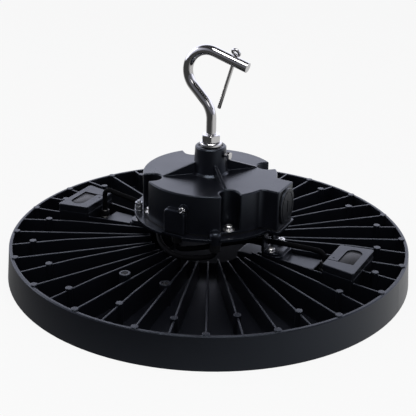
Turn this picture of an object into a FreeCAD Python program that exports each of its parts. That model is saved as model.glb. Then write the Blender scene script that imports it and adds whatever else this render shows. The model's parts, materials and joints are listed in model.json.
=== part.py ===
import FreeCAD, Part
import math
import os

# High bay light: a round die-cast heat sink with radial fins carries an LED board and a lens plate
# underneath, and a round driver with a hanging hook on top.  The frame's origin is the bottom
# centre of the rim, +Z is up, and +X runs along the two cable boxes and the driver's extension.
# All sizes are in millimetres.

Vector = FreeCAD.Vector
X_AXIS = Vector(1, 0, 0)
Y_AXIS = Vector(0, 1, 0)
Z_AXIS = Vector(0, 0, 1)

# --- heat sink: rim and floor ---------------------------------------------------------------------
RIM_RADIUS = 200.0          # outer radius of the rim at its top
RIM_HEIGHT = 32.0
RIM_FLARE = 2.7             # the rim is this much wider at its foot
RIM_WALL = 3.2              # thickness of the rim at its top
RIM_WALL_DRAFT = 1.4        # and this much thicker at the floor
RIM_CHAMFER = 0.7
FOOT_WIDTH = 9.7            # width of the ring that the light stands on
FLOOR_HEIGHT = 9.0          # underside of the floor above the foot
FLOOR_THICKNESS = 4.0
LENS_SEAT_HEIGHT = 5.6      # ledge that the lens plate is screwed to
LENS_SEAT_WIDTH = 10.0
HUB_RADIUS = 36.0           # thicker round middle of the floor
HUB_THICKNESS = 5.0
HUB_SLOPE = 6.0

# --- heat sink: fins, studs and bosses ------------------------------------------------------------
FIN_COUNT = 40
FIN_TOP_THICKNESS = 1.3
FIN_BASE_THICKNESS = 2.3
FIN_INNER_RADIUS = 60.0
FIN_CREST_RADIUS = 144.0    # every second fin rises to a crest here and slopes down to the rim
FIN_CREST_HEIGHT = 2.8      # above the rim's top
STUD_RADIUS = 3.3
OUTER_STUD_INSET = 1.2      # from the rim's inner edge to the outer studs' centres
OUTER_STUD_RISE = 0.9       # above the rim's top
INNER_STUD_CIRCLES = (176.4, 168.9)
INNER_STUD_RISE = 3.3
BOSS_RADIUS = 5.2
BOSS_RISE = 3.4
BOSS_BORE = 3.2             # radius of the blind counterbore in a boss
BOSS_BORE_DEPTH = 2.6
BOSS_PLACES = ((0.606, -102.5), (0.591, -82.0))     # share of the rim's radius, and angle

# --- heat sink: cable ducts, boxes and driver pads ------------------------------------------------
DUCT_START = 38.0
DUCT_GAP = 13.0              # between a duct and its box
DUCT_WIDTH = 23.2
DUCT_DROP = 3.6             # its top lies this far below the rim's top
DUCT_WALL = 2.6
DUCT_EDGE = 1.0             # rounding along the top of a duct
BOX_INSET = 35.0            # from the rim to the outer end of a box
BOX_LENGTH = 33.0
BOX_INNER_WIDTH = 48.0
BOX_OUTER_WIDTH = 60.5
BOX_WALL = 2.5
BOX_CORNER = 2.5
BOX_RISE = 4.0              # top of the cast walls above the rim's top
COVER_HEIGHT = 7.0
COVER_TOP_THICKNESS = 3.2
COVER_EDGE = 0.8
PANEL_INSET = 10.5          # sunken finger panel: from the cover's inner end
PANEL_WIDTH = 16.0
PANEL_SQUARE_END = -12.0    # its square end and its round end, across the cover
PANEL_ROUND_END = 20.0
PANEL_DEPTH = 1.6
GROOVE_WIDTH = 1.0
GROOVE_DEPTH = 0.9
PAD_MARGIN = 2.0            # cast pads reach this far past the bracket feet that stand on them
PAD_WIDTH = 33.0
PAD_RISE = 2.5
PAD_CORNER = 6.0

# --- LED board, lens and their fasteners ----------------------------------------------------------
BOARD_THICKNESS = 1.6
BOARD_MARGIN = 11.0         # from the lens seat to the board's edge
LED_SIZE = 5.0
LED_HEIGHT = 0.8
LED_RINGS = ((12, 0.34), (18, 0.57), (24, 0.8))     # how many LEDs, at which share of the board's radius
LENS_THICKNESS = 2.2
LENS_CLEARANCE = 1.0
DOME_RADIUS = 9.0
DOME_HEIGHT = 2.4
LENS_SCREW_COUNT = 12
LENS_SCREW_DEPTH = 5.4      # the blind holes in the lens seat
SEAL_WIDTH = 5.0

# --- driver: base plate, gasket and cap -----------------------------------------------------------
DRIVER_GAP = 27.0           # from the rim's top to the underside of the driver's base plate
BASE_FLANGE = 8.6           # the plate stands this far out of the cap
BASE_THICKNESS = 3.0
BASE_MARGIN = 2.0           # the plate reaches this far past the cap's extension
GASKET_THICKNESS = 1.0
CAP_RADIUS = 66.4
CAP_HEIGHT = 39.0
CAP_WALL = 3.0
CAP_EDGE = 1.4
EXTENSION_LENGTH = 15.6     # beyond the round wall
EXTENSION_WIDTH = 33.6
EXTENSION_BLEND = 6.0
EXTENSION_CORNER = 2.0
RECESS_WIDTH = 18.6
RECESS_DEPTH = 16.4         # the screw recesses reach this far in from the wall
RECESS_ANGLES = (45, 135, 225, 315)
LUG_THICKNESS = 2.2
PAD_BUMP_ANGLE = -91.5      # raised pad over the side cable exit
PAD_BUMP_WIDTH = 22.4
PAD_BUMP_DEPTH = 5.0        # it stands this far out of the wall
PAD_BUMP_RISE = 25.0        # above the base plate
PAD_BUMP_CORNER = 6.0
PAD_BUMP_EDGE = 2.0
PAD_SCREW_ANGLE = -83.8     # slotted screw on a small round seat at the pad's corner
PAD_SCREW_LEVEL = 26.0      # above the base plate
PAD_SCREW_SEAT = 4.2
PAD_SCREW_HEAD = 1.6
EXIT_ANGLE = -58.0          # round cable exit that passes the edge of the base plate
EXIT_OFFSET = 3.6           # its axis lies this far outside the wall
EXIT_RADIUS = 6.0
EXIT_RISE = 6.5
EXIT_DOME = 3.6
EXIT_DROP = 3.0             # below the base plate

# --- driver: hook boss, ribs, end plug ------------------------------------------------------------
HOOK_BOSS_RADIUS = 15.3     # at its top
HOOK_BOSS_DRAFT = 1.4
HOOK_BOSS_HEIGHT = 27.4
HOOK_BOSS_FLARE = 2.0
CUP_RADIUS = 12.0
CUP_DEPTH = 1.4
RIB_HEIGHT = 12.0
RIB_END_HEIGHT = 0.6
RIB_END_GAP = 1.5           # from a rib's end to the edge of its recess
RIB_THICKNESS = 3.0
PLUG_WIDTH = 30.0           # oval plug that closes the connector port
PLUG_HEIGHT = 36.5
PLUG_FLANGE = 1.6           # the plug's head is this much wider than its body, all round
PLUG_HEAD = 1.6
PLUG_SEAL = 0.6
PLUG_SLOT_LENGTH = 12.0
PLUG_SLOT_WIDTH = 1.8

# --- hook, pins and fasteners ---------------------------------------------------------------------
ROD_RADIUS = 4.9
ROD_CLEARANCE = 0.15
SHANK_DEPTH = 25.0          # how deep the rod enters the boss
NECK_RISE = 26.3            # straight rod above the boss
NECK_BEND = 26.0            # radius of the bend from upright to slanting
HOOK_LEAN = 45.0            # slope of the neck in degrees
HOOK_BEND = 22.0            # radius of the hook's bow
BOW_OFFSET = 4.2            # the bow's centre lies this far behind the shank
MOUTH_SLOPE = 17.0          # the mouth runs down at this angle in degrees
MOUTH_LENGTH = 36.5
COTTER_PLACE = 21.4         # along the straight of the mouth
COTTER_RADIUS = 1.8
COTTER_CLEARANCE = 0.15
COTTER_LENGTH = 50.0        # below the rod's axis
COTTER_EYE = 3.6            # radius of the eye's wire circle
COTTER_EYE_TILT = 32.0      # the eye is bent over sideways, in degrees
COTTER_SLIT = 0.3
NUT_FLATS = 17.0
NUT_HEIGHT = 7.0
WASHER_RADIUS = 11.1        # domed washer between the nut and the spring washer
WASHER_THICKNESS = 3.8
WASHER_EDGE = 2.2           # rounding of its upper edge
SPRING_WASHER_RADIUS = 9.4
SPRING_WASHER_THICKNESS = 2.2
SET_SCREW_HEIGHT = 20.0     # above the cap's top
SET_SCREW_NECK = 3.4        # left free between the boss and the set screw's head
SMALL_FLATS = 7.0           # M4 nuts and heads
SMALL_NUT = 3.2
SMALL_RADIUS = 2.0          # M4 shanks
SMALL_HEAD_RADIUS = 3.7
SMALL_HEAD = 3.0
HOLE_CLEARANCE = 0.2
SMALL_WASHER_RADIUS = 5.6
SMALL_WASHER = 1.0
SMALL_SPRING_RADIUS = 3.9
SMALL_SPRING = 1.2
CAP_SCREW_INSET = 5.4       # from the cap's wall to the screws' axes
FOOT_SCREW_DEPTH = 10.0     # the blind holes in the pads
SCREW_END_GAP = 0.8         # left free below a screw's end in a blind hole

# --- driver brackets, leads and glands ------------------------------------------------------------
BRACKET_SHEET = 2.5
BRACKET_WIDTH = 33.0
BRACKET_INSET = 9.0         # from the base plate's edge to the inner face of the leg
BRACKET_FOOT = 19.0         # length of the foot and of the tab from that face
BRACKET_TAB = 18.0
BRACKET_WINDOW_WIDTH = 13.0
BRACKET_WINDOW_HEIGHT = 16.5
BRACKET_CORNER = 7.0
BRACKET_SCREW_SPREAD = 12.2
FOOT_SCREW_OFFSET = 6.0     # from the leg's outer face to the foot screws
LEAD_RADIUS = 2.6
GLAND_RADIUS = 5.2
GLAND_NECK = 4.4            # radius of a gland's thin end
GLAND_RISE = 2.0            # top of the floor glands above the rim's top
SIDE_GLAND_INSET = 2.9      # from the cap's wall to the side gland's axis
SIDE_GLAND_DROP = 8.0
EXIT_GLAND_DROP = 8.0
LEAD_DROP = 14.8            # a lead's first run down from the base plate
LEAD_RIGHT_BENDS = ((0.053, -0.864, 0.35), (0.258, -0.667, 0.33), (0.576, -0.288, 0.35),
                    (0.879, -0.038, 0.37))      # under the driver: x and y as shares of BRACKET_LEG,
                                                # height as a share of DRIVER_GAP
LEAD_RIGHT_RUN = ((0.3, 0.385), (0.7, 0.41), (1.0, 0.43))       # bracket to gland: share of the run, height
LEAD_LEFT_BENDS = ((0.455, -0.932, 0.333), (0.295, -1.0, 0.267), (0.121, -1.045, 0.244),
                   (-0.091, -1.015, 0.241), (-0.394, -0.818, 0.281), (-0.697, -0.394, 0.407),
                   (-0.939, -0.045, 0.556))
LEAD_LEFT_RUN = ((0.336, 0.722), (0.706, 0.852), (1.0, 0.963))
EARTH_ANGLE = -147.0

# --- driver electronics ---------------------------------------------------------------------------
CIRCUIT_THICKNESS = 1.6
CIRCUIT_GAP = 6.0           # above the base plate
CIRCUIT_MARGIN = 4.0
TRANSFORMER_SIZE = (34.0, 26.0, 22.0)
CAPACITOR_RADIUS = 8.0
CAPACITOR_LENGTH = 20.0

# --- levels and radii worked out from the above ---------------------------------------------------
RIM_TOP = RIM_HEIGHT
FOOT_RADIUS = RIM_RADIUS + RIM_FLARE
FOOT_INNER_RADIUS = FOOT_RADIUS - FOOT_WIDTH
SEAT_INNER_RADIUS = FOOT_INNER_RADIUS - LENS_SEAT_WIDTH
RIM_INNER_RADIUS = RIM_RADIUS - RIM_WALL
FLOOR_TOP = FLOOR_HEIGHT + FLOOR_THICKNESS
DUCT_TOP = RIM_TOP - DUCT_DROP
BOX_OUTER_END = RIM_RADIUS - BOX_INSET
BOX_INNER_END = BOX_OUTER_END - BOX_LENGTH
DUCT_END = BOX_INNER_END - DUCT_GAP
PANEL_START = BOX_INNER_END + PANEL_INSET
PANEL_END = PANEL_START + PANEL_WIDTH
BOX_TOP = RIM_TOP + BOX_RISE
COVER_TOP = BOX_TOP + COVER_HEIGHT
PAD_TOP = RIM_TOP + PAD_RISE
BRACKET_FOOT_TOP = PAD_TOP + BRACKET_SHEET
BASE_BOTTOM = RIM_TOP + DRIVER_GAP
BASE_TOP = BASE_BOTTOM + BASE_THICKNESS
CAP_BOTTOM = BASE_TOP + GASKET_THICKNESS
CAP_TOP = CAP_BOTTOM + CAP_HEIGHT
LUG_TOP = CAP_BOTTOM + LUG_THICKNESS
GLAND_PLACE = (DUCT_END + BOX_INNER_END) / 2     # the floor glands stand between duct and box
BOSS_TOP = CAP_TOP + HOOK_BOSS_HEIGHT
CUP_FLOOR = BOSS_TOP - CUP_DEPTH
SPRING_TOP = CUP_FLOOR + SPRING_WASHER_THICKNESS
WASHER_TOP = SPRING_TOP + WASHER_THICKNESS
RECESS_RADIUS = RECESS_WIDTH / 2
RECESS_START = CAP_RADIUS - RECESS_DEPTH
CAP_SCREW_CIRCLE = CAP_RADIUS - CAP_SCREW_INSET
EXTENSION_REACH = CAP_RADIUS + EXTENSION_LENGTH
PAD_BUMP_REACH = CAP_RADIUS + PAD_BUMP_DEPTH
EXIT_CIRCLE = CAP_RADIUS + EXIT_OFFSET
SIDE_GLAND_CIRCLE = CAP_RADIUS - SIDE_GLAND_INSET
BASE_RADIUS = CAP_RADIUS + BASE_FLANGE
EARTH_CIRCLE = (CAP_RADIUS + BASE_RADIUS) / 2
BRACKET_LEG = BASE_RADIUS - BRACKET_INSET
BRACKET_TAB_START = BRACKET_LEG - BRACKET_TAB
BRACKET_FOOT_END = BRACKET_LEG + BRACKET_FOOT
PAD_START = BRACKET_LEG - PAD_MARGIN
PAD_END = BRACKET_FOOT_END + PAD_MARGIN
BOARD_RADIUS = SEAT_INNER_RADIUS - BOARD_MARGIN
LENS_RADIUS = FOOT_INNER_RADIUS - LENS_CLEARANCE
LENS_TOP = LENS_SEAT_HEIGHT
LENS_BOTTOM = LENS_TOP - LENS_THICKNESS
LENS_SCREW_CIRCLE = (SEAT_INNER_RADIUS + LENS_RADIUS) / 2
SMALL_HOLE = SMALL_RADIUS + HOLE_CLEARANCE


# --- shape helpers --------------------------------------------------------------------------------
def polar(radius, angle, height=0.0):
    """Point at a radius and an angle in degrees."""
    turn = math.radians(angle)
    return Vector(radius * math.cos(turn), radius * math.sin(turn), height)


def disc(radius, bottom, height, centre=Vector(0, 0, 0)):
    """Upright cylinder from its bottom."""
    return Part.makeCylinder(radius, height, Vector(centre.x, centre.y, bottom))


def ring(outer, inner, bottom, height, centre=Vector(0, 0, 0)):
    """Upright tube from its bottom."""
    return disc(outer, bottom, height, centre).cut(disc(inner, bottom, height, centre))


def block(x0, x1, y0, y1, z0, z1):
    """Box between two corners."""
    return Part.makeBox(x1 - x0, y1 - y0, z1 - z0, Vector(x0, y0, z0))


def revolved(profile):
    """Solid of revolution about Z from a closed outline of (radius, height) points."""
    points = [Vector(radius, 0, height) for radius, height in profile]
    face = Part.Face(Part.makePolygon(points + points[:1]))
    return face.revolve(Vector(0, 0, 0), Z_AXIS, 360)


def upright(outline, bottom, height):
    """Prism on a closed outline of (x, y) points."""
    points = [Vector(x, y, bottom) for x, y in outline]
    return Part.Face(Part.makePolygon(points + points[:1])).extrude(Vector(0, 0, height))


def standing(outline, thickness):
    """Plate in the XZ plane, centred on Y, from a closed outline of (x, z) points."""
    points = [Vector(x, -thickness / 2, z) for x, z in outline]
    return Part.Face(Part.makePolygon(points + points[:1])).extrude(Vector(0, thickness, 0))


def turned(shape, angle, axis=Z_AXIS, centre=Vector(0, 0, 0)):
    """Copy of a shape turned by an angle in degrees."""
    copy = shape.copy()
    copy.rotate(centre, axis, angle)
    return copy


def moved(shape, offset):
    """Copy of a shape moved by an offset."""
    copy = shape.copy()
    copy.translate(offset)
    return copy


def both_sides(shape):
    """A shape and its copy half a turn on."""
    return [shape, turned(shape, 180)]


def slot(radius, start, end, bottom, height):
    """Stadium-shaped prism along X, round at its start and open-ended past its end."""
    body = block(start + radius, end, -radius, radius, bottom, bottom + height)
    return body.fuse(disc(radius, bottom, height, Vector(start + radius, 0, 0)))


def hexagon(flats, bottom, height, centre=Vector(0, 0, 0)):
    """Hexagonal prism with two flats facing along Y."""
    corner = flats / math.sqrt(3)
    outline = [polar(corner, 60 * i) + centre for i in range(6)]
    return upright([(p.x, p.y) for p in outline], bottom, height)


def upright_edges(shape, test):
    """Vertical edges of a shape whose middle passes a test."""
    found = []
    for edge in shape.Edges:
        box = edge.BoundBox
        if max(box.XLength, box.YLength) < 1e-6 and test(edge.CenterOfMass):
            found.append(edge)
    return found


def level_edges(shape, height, test=lambda edge: True):
    """Edges of a shape that lie wholly at one height."""
    found = []
    for edge in shape.Edges:
        box = edge.BoundBox
        if abs(box.ZMin - height) < 1e-6 and abs(box.ZMax - height) < 1e-6 and test(edge):
            found.append(edge)
    return found


def cross_edges(shape, places):
    """Edges that run along Y at the given (x, z) places."""
    found = []
    for edge in shape.Edges:
        middle = edge.CenterOfMass
        at_place = any(abs(middle.x - x) + abs(middle.z - z) < 1e-4 for x, z in places)
        if at_place and edge.BoundBox.XLength + edge.BoundBox.ZLength < 1e-4:
            found.append(edge)
    return found


def rounded_block(x0, x1, width, z0, z1, corner):
    """Box centred on Y with rounded upright edges."""
    body = block(x0, x1, -width / 2, width / 2, z0, z1)
    return body.makeFillet(corner, upright_edges(body, lambda middle: True))


# --- heat sink ------------------------------------------------------------------------------------
def rim_and_floor():
    return revolved([
        (0, FLOOR_TOP + HUB_THICKNESS),
        (HUB_RADIUS, FLOOR_TOP + HUB_THICKNESS),
        (HUB_RADIUS + HUB_SLOPE, FLOOR_TOP),
        (RIM_INNER_RADIUS - RIM_WALL_DRAFT, FLOOR_TOP),
        (RIM_INNER_RADIUS, RIM_TOP),
        (RIM_RADIUS - RIM_CHAMFER, RIM_TOP),
        (RIM_RADIUS, RIM_TOP - RIM_CHAMFER),
        (FOOT_RADIUS, 0),
        (FOOT_INNER_RADIUS, 0),
        (FOOT_INNER_RADIUS, LENS_SEAT_HEIGHT),
        (SEAT_INNER_RADIUS, LENS_SEAT_HEIGHT),
        (SEAT_INNER_RADIUS, FLOOR_HEIGHT),
        (0, FLOOR_HEIGHT),
    ])


def fin(start, crested):
    """One fin along +X with draft on both sides, from a radius to the rim."""
    end = RIM_INNER_RADIUS + RIM_WALL / 2
    foot = FLOOR_TOP - FLOOR_THICKNESS / 2
    outline = [(start, foot), (end, foot), (end, RIM_TOP - RIM_CHAMFER), (RIM_INNER_RADIUS, RIM_TOP)]
    crest = RIM_TOP + FIN_CREST_HEIGHT
    if crested and start < FIN_CREST_RADIUS:
        outline += [(FIN_CREST_RADIUS, crest), (start, crest)]
    elif crested:
        slope = FIN_CREST_HEIGHT / (RIM_INNER_RADIUS - FIN_CREST_RADIUS)
        outline += [(start, RIM_TOP + slope * (RIM_INNER_RADIUS - start))]
    else:
        outline += [(start, RIM_TOP)]
    plate = standing(outline, FIN_BASE_THICKNESS)
    half_base = FIN_BASE_THICKNESS / 2
    half_top = FIN_TOP_THICKNESS / 2
    section = [Vector(start, -half_base, foot), Vector(start, -half_base, FLOOR_TOP),
               Vector(start, -half_top, crest), Vector(start, half_top, crest),
               Vector(start, half_base, FLOOR_TOP), Vector(start, half_base, foot)]
    wedge = Part.Face(Part.makePolygon(section + section[:1])).extrude(Vector(end - start, 0, 0))
    return plate.common(wedge)


def fins():
    """All fins: plain ones and crested ones in turn, short ones outside the two boxes."""
    plain = fin(FIN_INNER_RADIUS, False)
    crested = fin(FIN_INNER_RADIUS, True)
    short = fin(BOX_OUTER_END - BOX_WALL, True)
    pitch = 360 / FIN_COUNT
    shapes = []
    for i in range(FIN_COUNT):
        pattern = crested if i % 2 == 0 else plain
        if i % (FIN_COUNT // 2) == 0:
            pattern = short
        shapes.append(turned(pattern, i * pitch))
    return shapes


def studs():
    """Round ejector studs: outer ones against the rim, inner ones on two circles in turn."""
    foot = FLOOR_TOP - FLOOR_THICKNESS / 2
    outer_height = RIM_TOP + OUTER_STUD_RISE - foot
    inner_height = RIM_TOP + INNER_STUD_RISE - foot
    outer_circle = RIM_INNER_RADIUS - OUTER_STUD_INSET
    pitch = 360 / FIN_COUNT
    shapes = []
    for i in range(FIN_COUNT):
        if i % 2:
            shapes.append(disc(STUD_RADIUS, foot, outer_height, polar(outer_circle, i * pitch)))
        else:
            circle = INNER_STUD_CIRCLES[(i // 2) % 2]
            shapes.append(disc(STUD_RADIUS, foot, inner_height, polar(circle, i * pitch)))
    return shapes


def bosses():
    """Annular casting bosses among the fins, and the counterbores in their tops."""
    foot = FLOOR_TOP - FLOOR_THICKNESS / 2
    top = RIM_TOP + BOSS_RISE
    solids = []
    bores = []
    for share, angle in BOSS_PLACES:
        radius = share * RIM_RADIUS
        for place in (polar(radius, angle), polar(radius, angle + 180)):
            solids.append(disc(BOSS_RADIUS, foot, top - foot, place))
            bores.append(disc(BOSS_BORE, top - BOSS_BORE_DEPTH, BOSS_BORE_DEPTH, place))
    return solids, bores


def duct():
    """Raised cable duct along +X, and the channel under it."""
    foot = FLOOR_TOP - FLOOR_THICKNESS / 2
    body = block(DUCT_START, DUCT_END, -DUCT_WIDTH / 2, DUCT_WIDTH / 2, foot, DUCT_TOP)
    body = body.makeFillet(DUCT_EDGE, level_edges(body, DUCT_TOP))
    channel = block(DUCT_START + DUCT_WALL, DUCT_END - DUCT_WALL,
                    -DUCT_WIDTH / 2 + DUCT_WALL, DUCT_WIDTH / 2 - DUCT_WALL,
                    FLOOR_HEIGHT, DUCT_TOP - DUCT_WALL)
    return body, channel


def box_outline(inset=0.0):
    """Trapezoid of a cable box seen from above, optionally smaller all round."""
    run = BOX_OUTER_END - BOX_INNER_END
    slope = (BOX_OUTER_WIDTH - BOX_INNER_WIDTH) / 2 / run
    x0 = BOX_INNER_END + inset
    x1 = BOX_OUTER_END - inset
    side = inset * math.sqrt(1 + slope * slope)
    y0 = BOX_INNER_WIDTH / 2 + slope * inset - side
    y1 = BOX_OUTER_WIDTH / 2 - slope * inset - side
    return [(x0, -y0), (x1, -y1), (x1, y1), (x0, y0)]


def box_prism(bottom, height, inset=0.0):
    body = upright(box_outline(inset), bottom, height)
    return body.makeFillet(BOX_CORNER, upright_edges(body, lambda middle: True))


def heat_sink():
    foot = FLOOR_TOP - FLOOR_THICKNESS / 2
    boss_solids, boss_bores = bosses()
    duct_body, duct_channel = duct()
    box_walls = box_prism(foot, BOX_TOP - foot)
    box_cavity = upright(box_outline(BOX_WALL), FLOOR_TOP, BOX_TOP - FLOOR_TOP)
    pad = rounded_block(PAD_START, PAD_END, PAD_WIDTH, foot, PAD_TOP, PAD_CORNER)
    lead_hole = disc(LEAD_RADIUS + HOLE_CLEARANCE, FLOOR_HEIGHT, FLOOR_THICKNESS, Vector(GLAND_PLACE, 0, 0))

    added = fins() + studs() + boss_solids
    for shape in (duct_body, box_walls, pad):
        added += both_sides(shape)
    body = rim_and_floor().multiFuse(added)
    removed = boss_bores
    removed += [disc(SMALL_HOLE, PAD_TOP - FOOT_SCREW_DEPTH, FOOT_SCREW_DEPTH, place)
                for place in bracket_screw_places(0)]
    removed += [disc(SMALL_HOLE, LENS_SEAT_HEIGHT, LENS_SCREW_DEPTH, place)
                for place in lens_screw_places()]
    for shape in (duct_channel, box_cavity, lead_hole):
        removed += both_sides(shape)
    return body.cut(Part.makeCompound(removed)).removeSplitter()


# --- cable box covers -----------------------------------------------------------------------------
def box_cover():
    """Moulded cover with a sunken finger panel, a groove beside it and a hollow underside."""
    body = box_prism(BOX_TOP, COVER_HEIGHT)
    body = body.makeFillet(COVER_EDGE, level_edges(body, COVER_TOP))
    hollow = upright(box_outline(BOX_WALL), BOX_TOP, COVER_HEIGHT - COVER_TOP_THICKNESS)
    radius = (PANEL_END - PANEL_START) / 2
    panel_bottom = COVER_TOP - PANEL_DEPTH
    round_centre = Vector((PANEL_START + PANEL_END) / 2, PANEL_ROUND_END - radius, 0)
    panel = block(PANEL_START, PANEL_END, PANEL_SQUARE_END, round_centre.y, panel_bottom, COVER_TOP)
    panel = panel.fuse(disc(radius, panel_bottom, PANEL_DEPTH, round_centre))
    groove = block(BOX_INNER_END, PANEL_START + GROOVE_WIDTH, PANEL_SQUARE_END,
                   PANEL_SQUARE_END + GROOVE_WIDTH, COVER_TOP - GROOVE_DEPTH, COVER_TOP)
    return body.cut(hollow).cut(panel.fuse(groove)).removeSplitter()


# --- LED board, lens plate and their fasteners ----------------------------------------------------
def led_places():
    """Centres of the LEDs, ring by ring."""
    return [polar(share * BOARD_RADIUS, i * 360 / count)
            for count, share in LED_RINGS for i in range(count)]


def led_board():
    return disc(BOARD_RADIUS, FLOOR_HEIGHT - BOARD_THICKNESS, BOARD_THICKNESS)


def led_chips():
    half = LED_SIZE / 2
    top = FLOOR_HEIGHT - BOARD_THICKNESS
    chips = []
    for count, share in LED_RINGS:
        radius = share * BOARD_RADIUS
        chip = block(radius - half, radius + half, -half, half, top - LED_HEIGHT, top)
        chips += [turned(chip, i * 360 / count) for i in range(count)]
    return Part.makeCompound(chips)


def dome():
    """One lens dome that hangs below the plate and reaches into its thickness."""
    middle = LENS_BOTTOM + LENS_THICKNESS / 2
    tip = LENS_BOTTOM - DOME_HEIGHT
    sphere_radius = (DOME_RADIUS ** 2 + DOME_HEIGHT ** 2) / (2 * DOME_HEIGHT)
    half_turn = math.asin(DOME_RADIUS / sphere_radius) / 2
    waypoint = Vector(sphere_radius * math.sin(half_turn), 0,
                      tip + sphere_radius * (1 - math.cos(half_turn)))
    arc = Part.Arc(Vector(DOME_RADIUS, 0, LENS_BOTTOM), waypoint, Vector(0, 0, tip)).toShape()
    rest = Part.makePolygon([Vector(0, 0, tip), Vector(0, 0, middle), Vector(DOME_RADIUS, 0, middle),
                             Vector(DOME_RADIUS, 0, LENS_BOTTOM)])
    outline = Part.Wire([arc] + rest.Edges)
    return Part.Face(outline).revolve(Vector(0, 0, 0), Z_AXIS, 360)


def lens_screw_places(height=0.0):
    pitch = 360 / LENS_SCREW_COUNT
    return [polar(LENS_SCREW_CIRCLE, (i + 0.5) * pitch, height) for i in range(LENS_SCREW_COUNT)]


def lens_plate():
    """Clear plate with a shallow dome under each LED and a hole for each screw."""
    domes = [moved(dome(), place) for place in led_places()]
    plate = disc(LENS_RADIUS, LENS_BOTTOM, LENS_THICKNESS).multiFuse(domes)
    holes = [disc(SMALL_HOLE, LENS_BOTTOM, LENS_THICKNESS, place) for place in lens_screw_places()]
    return plate.cut(Part.makeCompound(holes))


def lens_seal():
    """Flat rubber ring between the lens plate and the floor."""
    return ring(SEAT_INNER_RADIUS - HOLE_CLEARANCE, SEAT_INNER_RADIUS - SEAL_WIDTH, LENS_TOP,
                FLOOR_HEIGHT - LENS_TOP)


# --- fasteners ------------------------------------------------------------------------------------
def pan_screw(length):
    """M4 screw that points down from the origin: chamfered head above, hexagon socket in it."""
    edge = SMALL_HEAD / 4
    body = revolved([(0, -length), (SMALL_RADIUS, -length), (SMALL_RADIUS, 0), (SMALL_HEAD_RADIUS, 0),
                     (SMALL_HEAD_RADIUS, SMALL_HEAD - edge), (SMALL_HEAD_RADIUS - edge, SMALL_HEAD),
                     (0, SMALL_HEAD)])
    return body.cut(hexagon(SMALL_RADIUS * 1.25, SMALL_HEAD / 2, SMALL_HEAD / 2))


def nut(flats, height, bore):
    """Hexagon nut with turned corners, standing on the origin."""
    corner = flats / math.sqrt(3)
    edge = corner - flats / 2
    turned_blank = revolved([(bore, 0), (flats / 2, 0), (corner, edge / 2), (corner, height - edge / 2),
                             (flats / 2, height), (bore, height)])
    return hexagon(flats, 0, height).common(turned_blank)


def spring_washer(outer, bore, thickness):
    """Split ring, cut across by a thin slanting gap."""
    body = ring(outer, bore, 0, thickness)
    gap = block(0, outer * 2, -thickness / 4, thickness / 4, -thickness, thickness * 2)
    return body.cut(turned(gap, 20, X_AXIS, Z_AXIS * (thickness / 2)))


def placed(shape, places):
    """Copies of a shape at several places, as one group."""
    return Part.makeCompound([moved(shape, place) for place in places])


def cap_screw_places(height):
    return [polar(CAP_SCREW_CIRCLE, angle, height) for angle in RECESS_ANGLES]


def bracket_screw_places(height):
    """Foot screws: two on each side."""
    x = BRACKET_LEG + BRACKET_SHEET + FOOT_SCREW_OFFSET
    return [Vector(side * x, row * BRACKET_SCREW_SPREAD, height) for side in (-1, 1) for row in (-1, 1)]


def tab_screw_places(height):
    """Upper bracket screws: two on each side."""
    x = (BRACKET_TAB_START + BRACKET_LEG) / 2
    return [Vector(side * x, row * BRACKET_SCREW_SPREAD * 0.75, height)
            for side in (-1, 1) for row in (-1, 1)]


# --- driver base plate and brackets ---------------------------------------------------------------
def base_plate():
    """Round plate with a tongue under the extension, a flat at the side pad and the screw holes."""
    half = EXTENSION_WIDTH / 2 + BASE_MARGIN
    plate = disc(BASE_RADIUS, BASE_BOTTOM, BASE_THICKNESS)
    plate = plate.fuse(block(0, EXTENSION_REACH + BASE_MARGIN, -half, half, BASE_BOTTOM, BASE_TOP))
    plate = plate.removeSplitter()
    plate = plate.makeFillet(EXTENSION_CORNER, upright_edges(plate, lambda m: m.x > EXTENSION_REACH))
    flat = block(PAD_BUMP_REACH, BASE_RADIUS + BASE_MARGIN, -PAD_BUMP_WIDTH / 2, PAD_BUMP_WIDTH / 2,
                 BASE_BOTTOM, BASE_TOP)
    notch = disc(EXIT_RADIUS + HOLE_CLEARANCE, BASE_BOTTOM, BASE_THICKNESS, polar(EXIT_CIRCLE, EXIT_ANGLE))
    holes = [disc(SMALL_HOLE, BASE_BOTTOM, BASE_THICKNESS, place) for place in
             cap_screw_places(0) + tab_screw_places(0) + [polar(EARTH_CIRCLE, EARTH_ANGLE)]]
    holes.append(disc(GLAND_NECK + HOLE_CLEARANCE, BASE_BOTTOM, BASE_THICKNESS,
                      polar(SIDE_GLAND_CIRCLE, PAD_BUMP_ANGLE)))
    return plate.cut(Part.makeCompound([turned(flat, PAD_BUMP_ANGLE), notch] + holes))


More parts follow.
